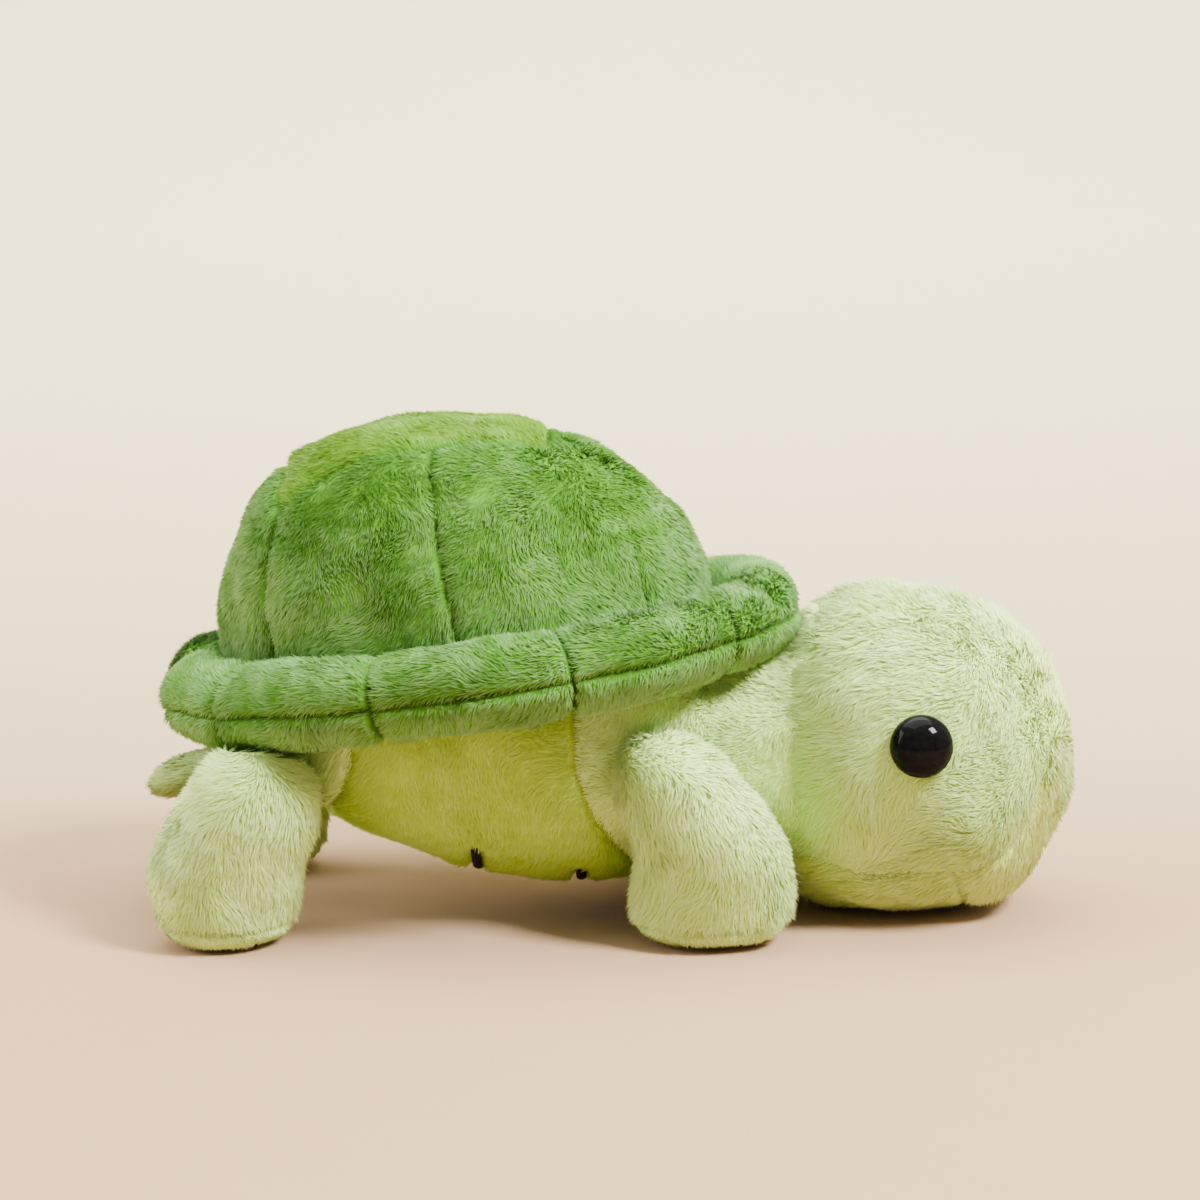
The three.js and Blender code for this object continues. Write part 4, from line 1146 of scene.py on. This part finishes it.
class TURTLE_OT_neck(bpy.types.Operator):
    """Sleeve of fabric that closes the gap between the chest and the head"""
    bl_idname = "turtle.neck"
    bl_label = "Neck"

    def execute(self, context):
        grid = grid_between(neck_surface, HEAD_AROUND, NECK_ALONG, 0, 1)
        piece = new_object("neck", *closed_mesh(np.concatenate([grid[:1], grid, grid[-1:]])))
        refine(piece)
        points = points_of(piece)
        lumps = settings("cloth").lump * waves(points, NECK_LUMP_SIZE, 31)
        points = cleared(points + normals_of(piece) * lumps[:, None], fixed_trees()[:1])
        set_points(piece, points)
        for name, value in (("panel", 0), ("off", 0), ("seam", 1)):
            set_values(piece, name, np.full(len(points), float(value)))
        piece["skins"] = ["neck"]
        piece.data.materials.append(material("cover_pale"))
        carry(piece, "neck")
        return {"FINISHED"}


class TURTLE_OT_legs(bpy.types.Operator):
    """Four stuffed legs, each with a sleeve and a sole"""
    bl_idname = "turtle.legs"
    bl_label = "Legs"

    def execute(self, context):
        trees = fixed_trees()
        for seed, name in enumerate(LEG_NAMES):
            grid = grid_between(lambda around, place: leg_surface(name, around, place),
                                LEG_AROUND, LEG_DOWN, 0, 1)
            stuffed("leg_form_" + name, closed_mesh(grid), ["leg_" + name, "sole_" + name],
                    ["leg_stuffing_" + name], "leg_" + name, "pale", 20 + seed,
                    clear=(trees, *LEG_PIVOTS[name.split("_")[0]]))
        return {"FINISHED"}


class TURTLE_OT_tail(bpy.types.Operator):
    """Tail of two fabric layers with no filling"""
    bl_idname = "turtle.tail"
    bl_label = "Tail"

    def execute(self, context):
        tail = settings("tail")
        grid = grid_between(tail_surface, TAIL_AROUND, TAIL_ALONG, 0, 1)
        clear = (fixed_trees(), (tail.root_x, tail.root_z), TAIL_RANGE)
        piece = stuffed("tail", closed_mesh(grid), ["tail_upper", "tail_lower"], [], "tail",
                        "tail", 30, clear=clear, seams=False)
        set_values(piece, "seam", np.full(len(piece.data.vertices), NO_SEAM))
        return {"FINISHED"}


def eye_places():
    """Where each eye sits on the head: its seat and the direction that it faces."""
    head = settings("head")
    turn = math.atan2(head.eye_z - head.z, head.eye_x - head.x)
    inner = 1 - ((head.eye_x - head.x) / head.half_length) ** 2
    side = math.asin(math.sqrt(inner - ((head.eye_z - head.z) / head.half_height) ** 2))
    for hand, name in ((1, "left"), (-1, "right")):
        seat = head_surface(np.array(turn), np.array(hand * side))
        along = head_surface(np.array(turn + STEP), np.array(hand * side)) - seat
        up = head_surface(np.array(turn), np.array(hand * side + STEP)) - seat
        out = Vector(np.cross(along, up)).normalized()
        out *= 1 if out.y * hand > 0 else -1
        yield name, Vector(seat), out


class TURTLE_OT_eyes(bpy.types.Operator):
    """Two black domed safety eyes"""
    bl_idname = "turtle.eyes"
    bl_label = "Eyes"

    def execute(self, context):
        head = settings("head")
        for name, seat, out in eye_places():
            bpy.ops.object.select_all(action="DESELECT")
            bpy.ops.mesh.primitive_uv_sphere_add(
                segments=EYE_SEGMENTS, ring_count=EYE_RINGS, radius=head.eye_radius)
            piece = bpy.context.object
            bpy.ops.object.mode_set(mode="EDIT")
            bpy.ops.mesh.select_all(action="SELECT")
            bpy.ops.mesh.bisect(plane_co=(0, 0, -EYE_SEAT), plane_no=(0, 0, 1), clear_inner=True,
                                use_fill=True)
            bpy.ops.object.mode_set(mode="OBJECT")
            points = points_of(piece)
            rim = points[:, 2] < 0
            points[:, 2] *= np.where(rim, EYE_RIM_STRETCH, head.eye_dome / head.eye_radius)
            set_points(piece, points)
            piece.name = piece.data.name = "eye_dome_" + name
            seated = Matrix.Translation(seat + out * EYE_SEAT) @ out.to_track_quat(
                "Z", "Y").to_matrix().to_4x4()
            piece.data.transform(seated)
            alone(piece)
            bpy.ops.object.shade_smooth_by_angle(angle=math.radians(EYE_SHARP))
            piece.data.materials.append(eye_material(tuple(settings("colours").eye)))
            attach(piece, "head")
            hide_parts("eye_" + name)
        return {"FINISHED"}


class TURTLE_OT_hidden(bpy.types.Operator):
    """Finishes of the parts inside: base panel and eye washers"""
    bl_idname = "turtle.hidden"
    bl_label = "Hidden parts"

    def execute(self, context):
        inside = {
            "shell_base_panel": plain_material("base_cloth", (0.12, 0.3, 0.06), 0.85, 700.0),
            "eye_washer_left": plain_material("washer_plastic", (0.7, 0.69, 0.64), 0.4, 300.0),
        }
        inside["eye_washer_right"] = inside["eye_washer_left"]
        for name, finish in inside.items():
            node = NODES[name]
            node.data.materials.clear()
            node.data.materials.append(finish)
        return {"FINISHED"}


class TURTLE_OT_lines(bpy.types.Operator):
    """Two black lines of satin stitch across the belly"""
    bl_idname = "turtle.lines"
    bl_label = "Belly lines"

    def execute(self, context):
        finish = thread_material("black_thread", tuple(settings("colours").thread))
        torso = settings("torso")
        for name, (middle, reach) in BELLY_LINES.items():
            place = (middle - torso.rear_x) / (torso.front_x - torso.rear_x)
            turns = np.radians(np.linspace(-reach, reach, LINE_RIBS * STITCH_RIBS + 1))
            rows = []
            for k, turn in enumerate(turns):
                spot, beside, fore = (
                    torso_surface(np.array(turn + a), np.array(place + b))
                    for a, b in ((0, 0), (STEP, 0), (0, STEP)))
                beside = Vector(beside - spot).normalized()
                out = Vector(fore - spot).normalized().cross(beside)
                out *= 1 if out.z < 0 else -1
                fore = out.cross(beside)
                ends = min(k, len(turns) - 1 - k) / STITCH_RIBS
                size = math.sin(min(ends, 1) * math.pi / 2)
                size *= 1 - LINE_NIP * (k % STITCH_RIBS == 0)
                middle_line = Vector(spot) - out * torso.line_pull
                rows.append([
                    middle_line + fore * (torso.line_width / 2 * math.cos(swing) * size)
                    + out * (torso.line_radius * math.sin(swing) * size)
                    for swing in np.arange(LINE_SECTION) / LINE_SECTION * 2 * math.pi])
            piece = new_object("stitches_" + name, *closed_mesh(np.array(rows)))
            piece.data.materials.append(finish)
            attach(piece, "torso")
            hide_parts("belly_line_" + name)
        return {"FINISHED"}


class TURTLE_OT_pile(bpy.types.Operator):
    """Pile of every panel, brushed the way that it lies"""
    bl_idname = "turtle.pile"
    bl_label = "Pile"

    def execute(self, context):
        short, long = settings("pile").short, settings("pile").long
        grown("dome", ["brim"], ["shell_top"] + ["shell"] * 6,
              [steady(-1, 0, -0.1)] + [steady(-0.2, 0, -1)] * 6, short, "torso", 1,
              along=stitch_run, lift=dome_lift)
        grown("brim", ["dome"], "shell", brim_way, short, "torso", 2, along=stitch_run,
              lift=brim_lift)
        grown("torso", ["dome", "brim"], ["pale", "belly", "pale"], steady(-0.6, 0, -1), short,
              "torso", 3, reach=0.009)
        grown("head", ["brim", "torso", "neck"], ["pale", "pale", "face", "face"], head_way, long,
              "head", 4, reach=0.022)
        grown("neck", ["torso", "head", "brim"], "pale", steady(*BACK), short, "neck", 10)
        for seed, name in enumerate(LEG_NAMES):
            grown("leg_form_" + name, ["torso", "brim"], "pale", steady(0.1, 0, -1), long,
                  "leg_" + name, 5 + seed)
        grown("tail", ["torso", "brim"], "tail", steady(-1, 0, -0.2), short, "tail", 9)
        return {"FINISHED"}


class TURTLE_OT_stage(bpy.types.Operator):
    """Paper sweep, soft lights and the camera"""
    bl_idname = "turtle.stage"
    bl_label = "Stage"

    def execute(self, context):
        stage = settings("stage")
        bend = [(SWEEP_FRONT, 0), (SWEEP_BEND, 0)]
        for k in range(1, SWEEP_STEPS + 1):
            swing = k / SWEEP_STEPS * math.pi / 2
            bend.append((SWEEP_BEND + SWEEP_RADIUS * math.sin(swing),
                         SWEEP_RADIUS * (1 - math.cos(swing))))
        bend.append((SWEEP_BEND + SWEEP_RADIUS, SWEEP_TOP))
        points = [(x, y, z) for y, z in bend for x in (-SWEEP_SIDE, SWEEP_SIDE)]
        faces = [(2 * k, 2 * k + 1, 2 * k + 3, 2 * k + 2) for k in range(len(bend) - 1)]
        sweep = new_object("paper_sweep", points, faces)
        sweep.data.materials.append(paper_material(tuple(stage.backdrop), tuple(stage.floor)))
        look = Vector((0, math.cos(stage.elevation), -math.sin(stage.elevation)))
        camera = bpy.data.cameras.new("camera")
        camera.lens = stage.lens
        camera.sensor_width = SENSOR_WIDTH
        camera.clip_start = CLIP_START
        taken = placed("camera", camera)
        taken.location = Vector((stage.target_x, 0, stage.target_z)) - look * stage.distance
        taken.rotation_euler = look.to_track_quat("-Z", "Y").to_euler()
        bpy.context.scene.camera = taken
        for name, (place, towards, size, power) in LIGHTS.items():
            light = bpy.data.lights.new(name, "AREA")
            light.energy = power
            light.size = size
            hung = placed(name, light)
            hung.location = place
            aim = Vector(towards) - hung.location
            hung.rotation_euler = aim.to_track_quat("-Z", "Y").to_euler()
        world = bpy.data.worlds.new("studio")
        world.use_nodes = True
        room = world.node_tree.nodes["Background"]
        room.inputs["Color"].default_value = ROOM_COLOUR
        start = Value(world.node_tree, None)
        _, behind, above = split(start, start.node("ShaderNodeTexCoord"))
        join(ramp(start, behind + above * 0.9, *ROOM_RAMP), room, "Strength")
        bpy.context.scene.world = world
        return {"FINISHED"}


OPERATORS = (
    TURTLE_OT_stage, TURTLE_OT_brim, TURTLE_OT_dome, TURTLE_OT_torso, TURTLE_OT_head,
    TURTLE_OT_neck, TURTLE_OT_legs, TURTLE_OT_tail, TURTLE_OT_eyes, TURTLE_OT_lines,
    TURTLE_OT_hidden, TURTLE_OT_pile,
)


class TURTLE_PT_panel(bpy.types.Panel):
    """Lists the parts of the plush turtle"""
    bl_idname = "TURTLE_PT_panel"
    bl_label = "Plush Turtle"
    bl_space_type = "VIEW_3D"
    bl_region_type = "UI"
    bl_category = "Plush Turtle"

    def draw(self, context):
        for operator in OPERATORS:
            self.layout.operator(operator.bl_idname)
        for name, group in GROUPS.items():
            box = self.layout.box()
            for key in group.__annotations__:
                box.prop(getattr(context.scene, name), key)


def register():
    for made in (*GROUPS.values(), *OPERATORS, TURTLE_PT_panel):
        bpy.utils.register_class(made)
    for name, group in GROUPS.items():
        setattr(bpy.types.Scene, name, bpy.props.PointerProperty(type=group))


def unregister():
    for name in GROUPS:
        delattr(bpy.types.Scene, name)
    for made in reversed((*GROUPS.values(), *OPERATORS, TURTLE_PT_panel)):
        bpy.utils.unregister_class(made)


def main():
    register()
    for operator in OPERATORS:
        family, name = operator.bl_idname.split(".")
        getattr(getattr(bpy.ops, family), name)()


if __name__ == "__main__":
    main()
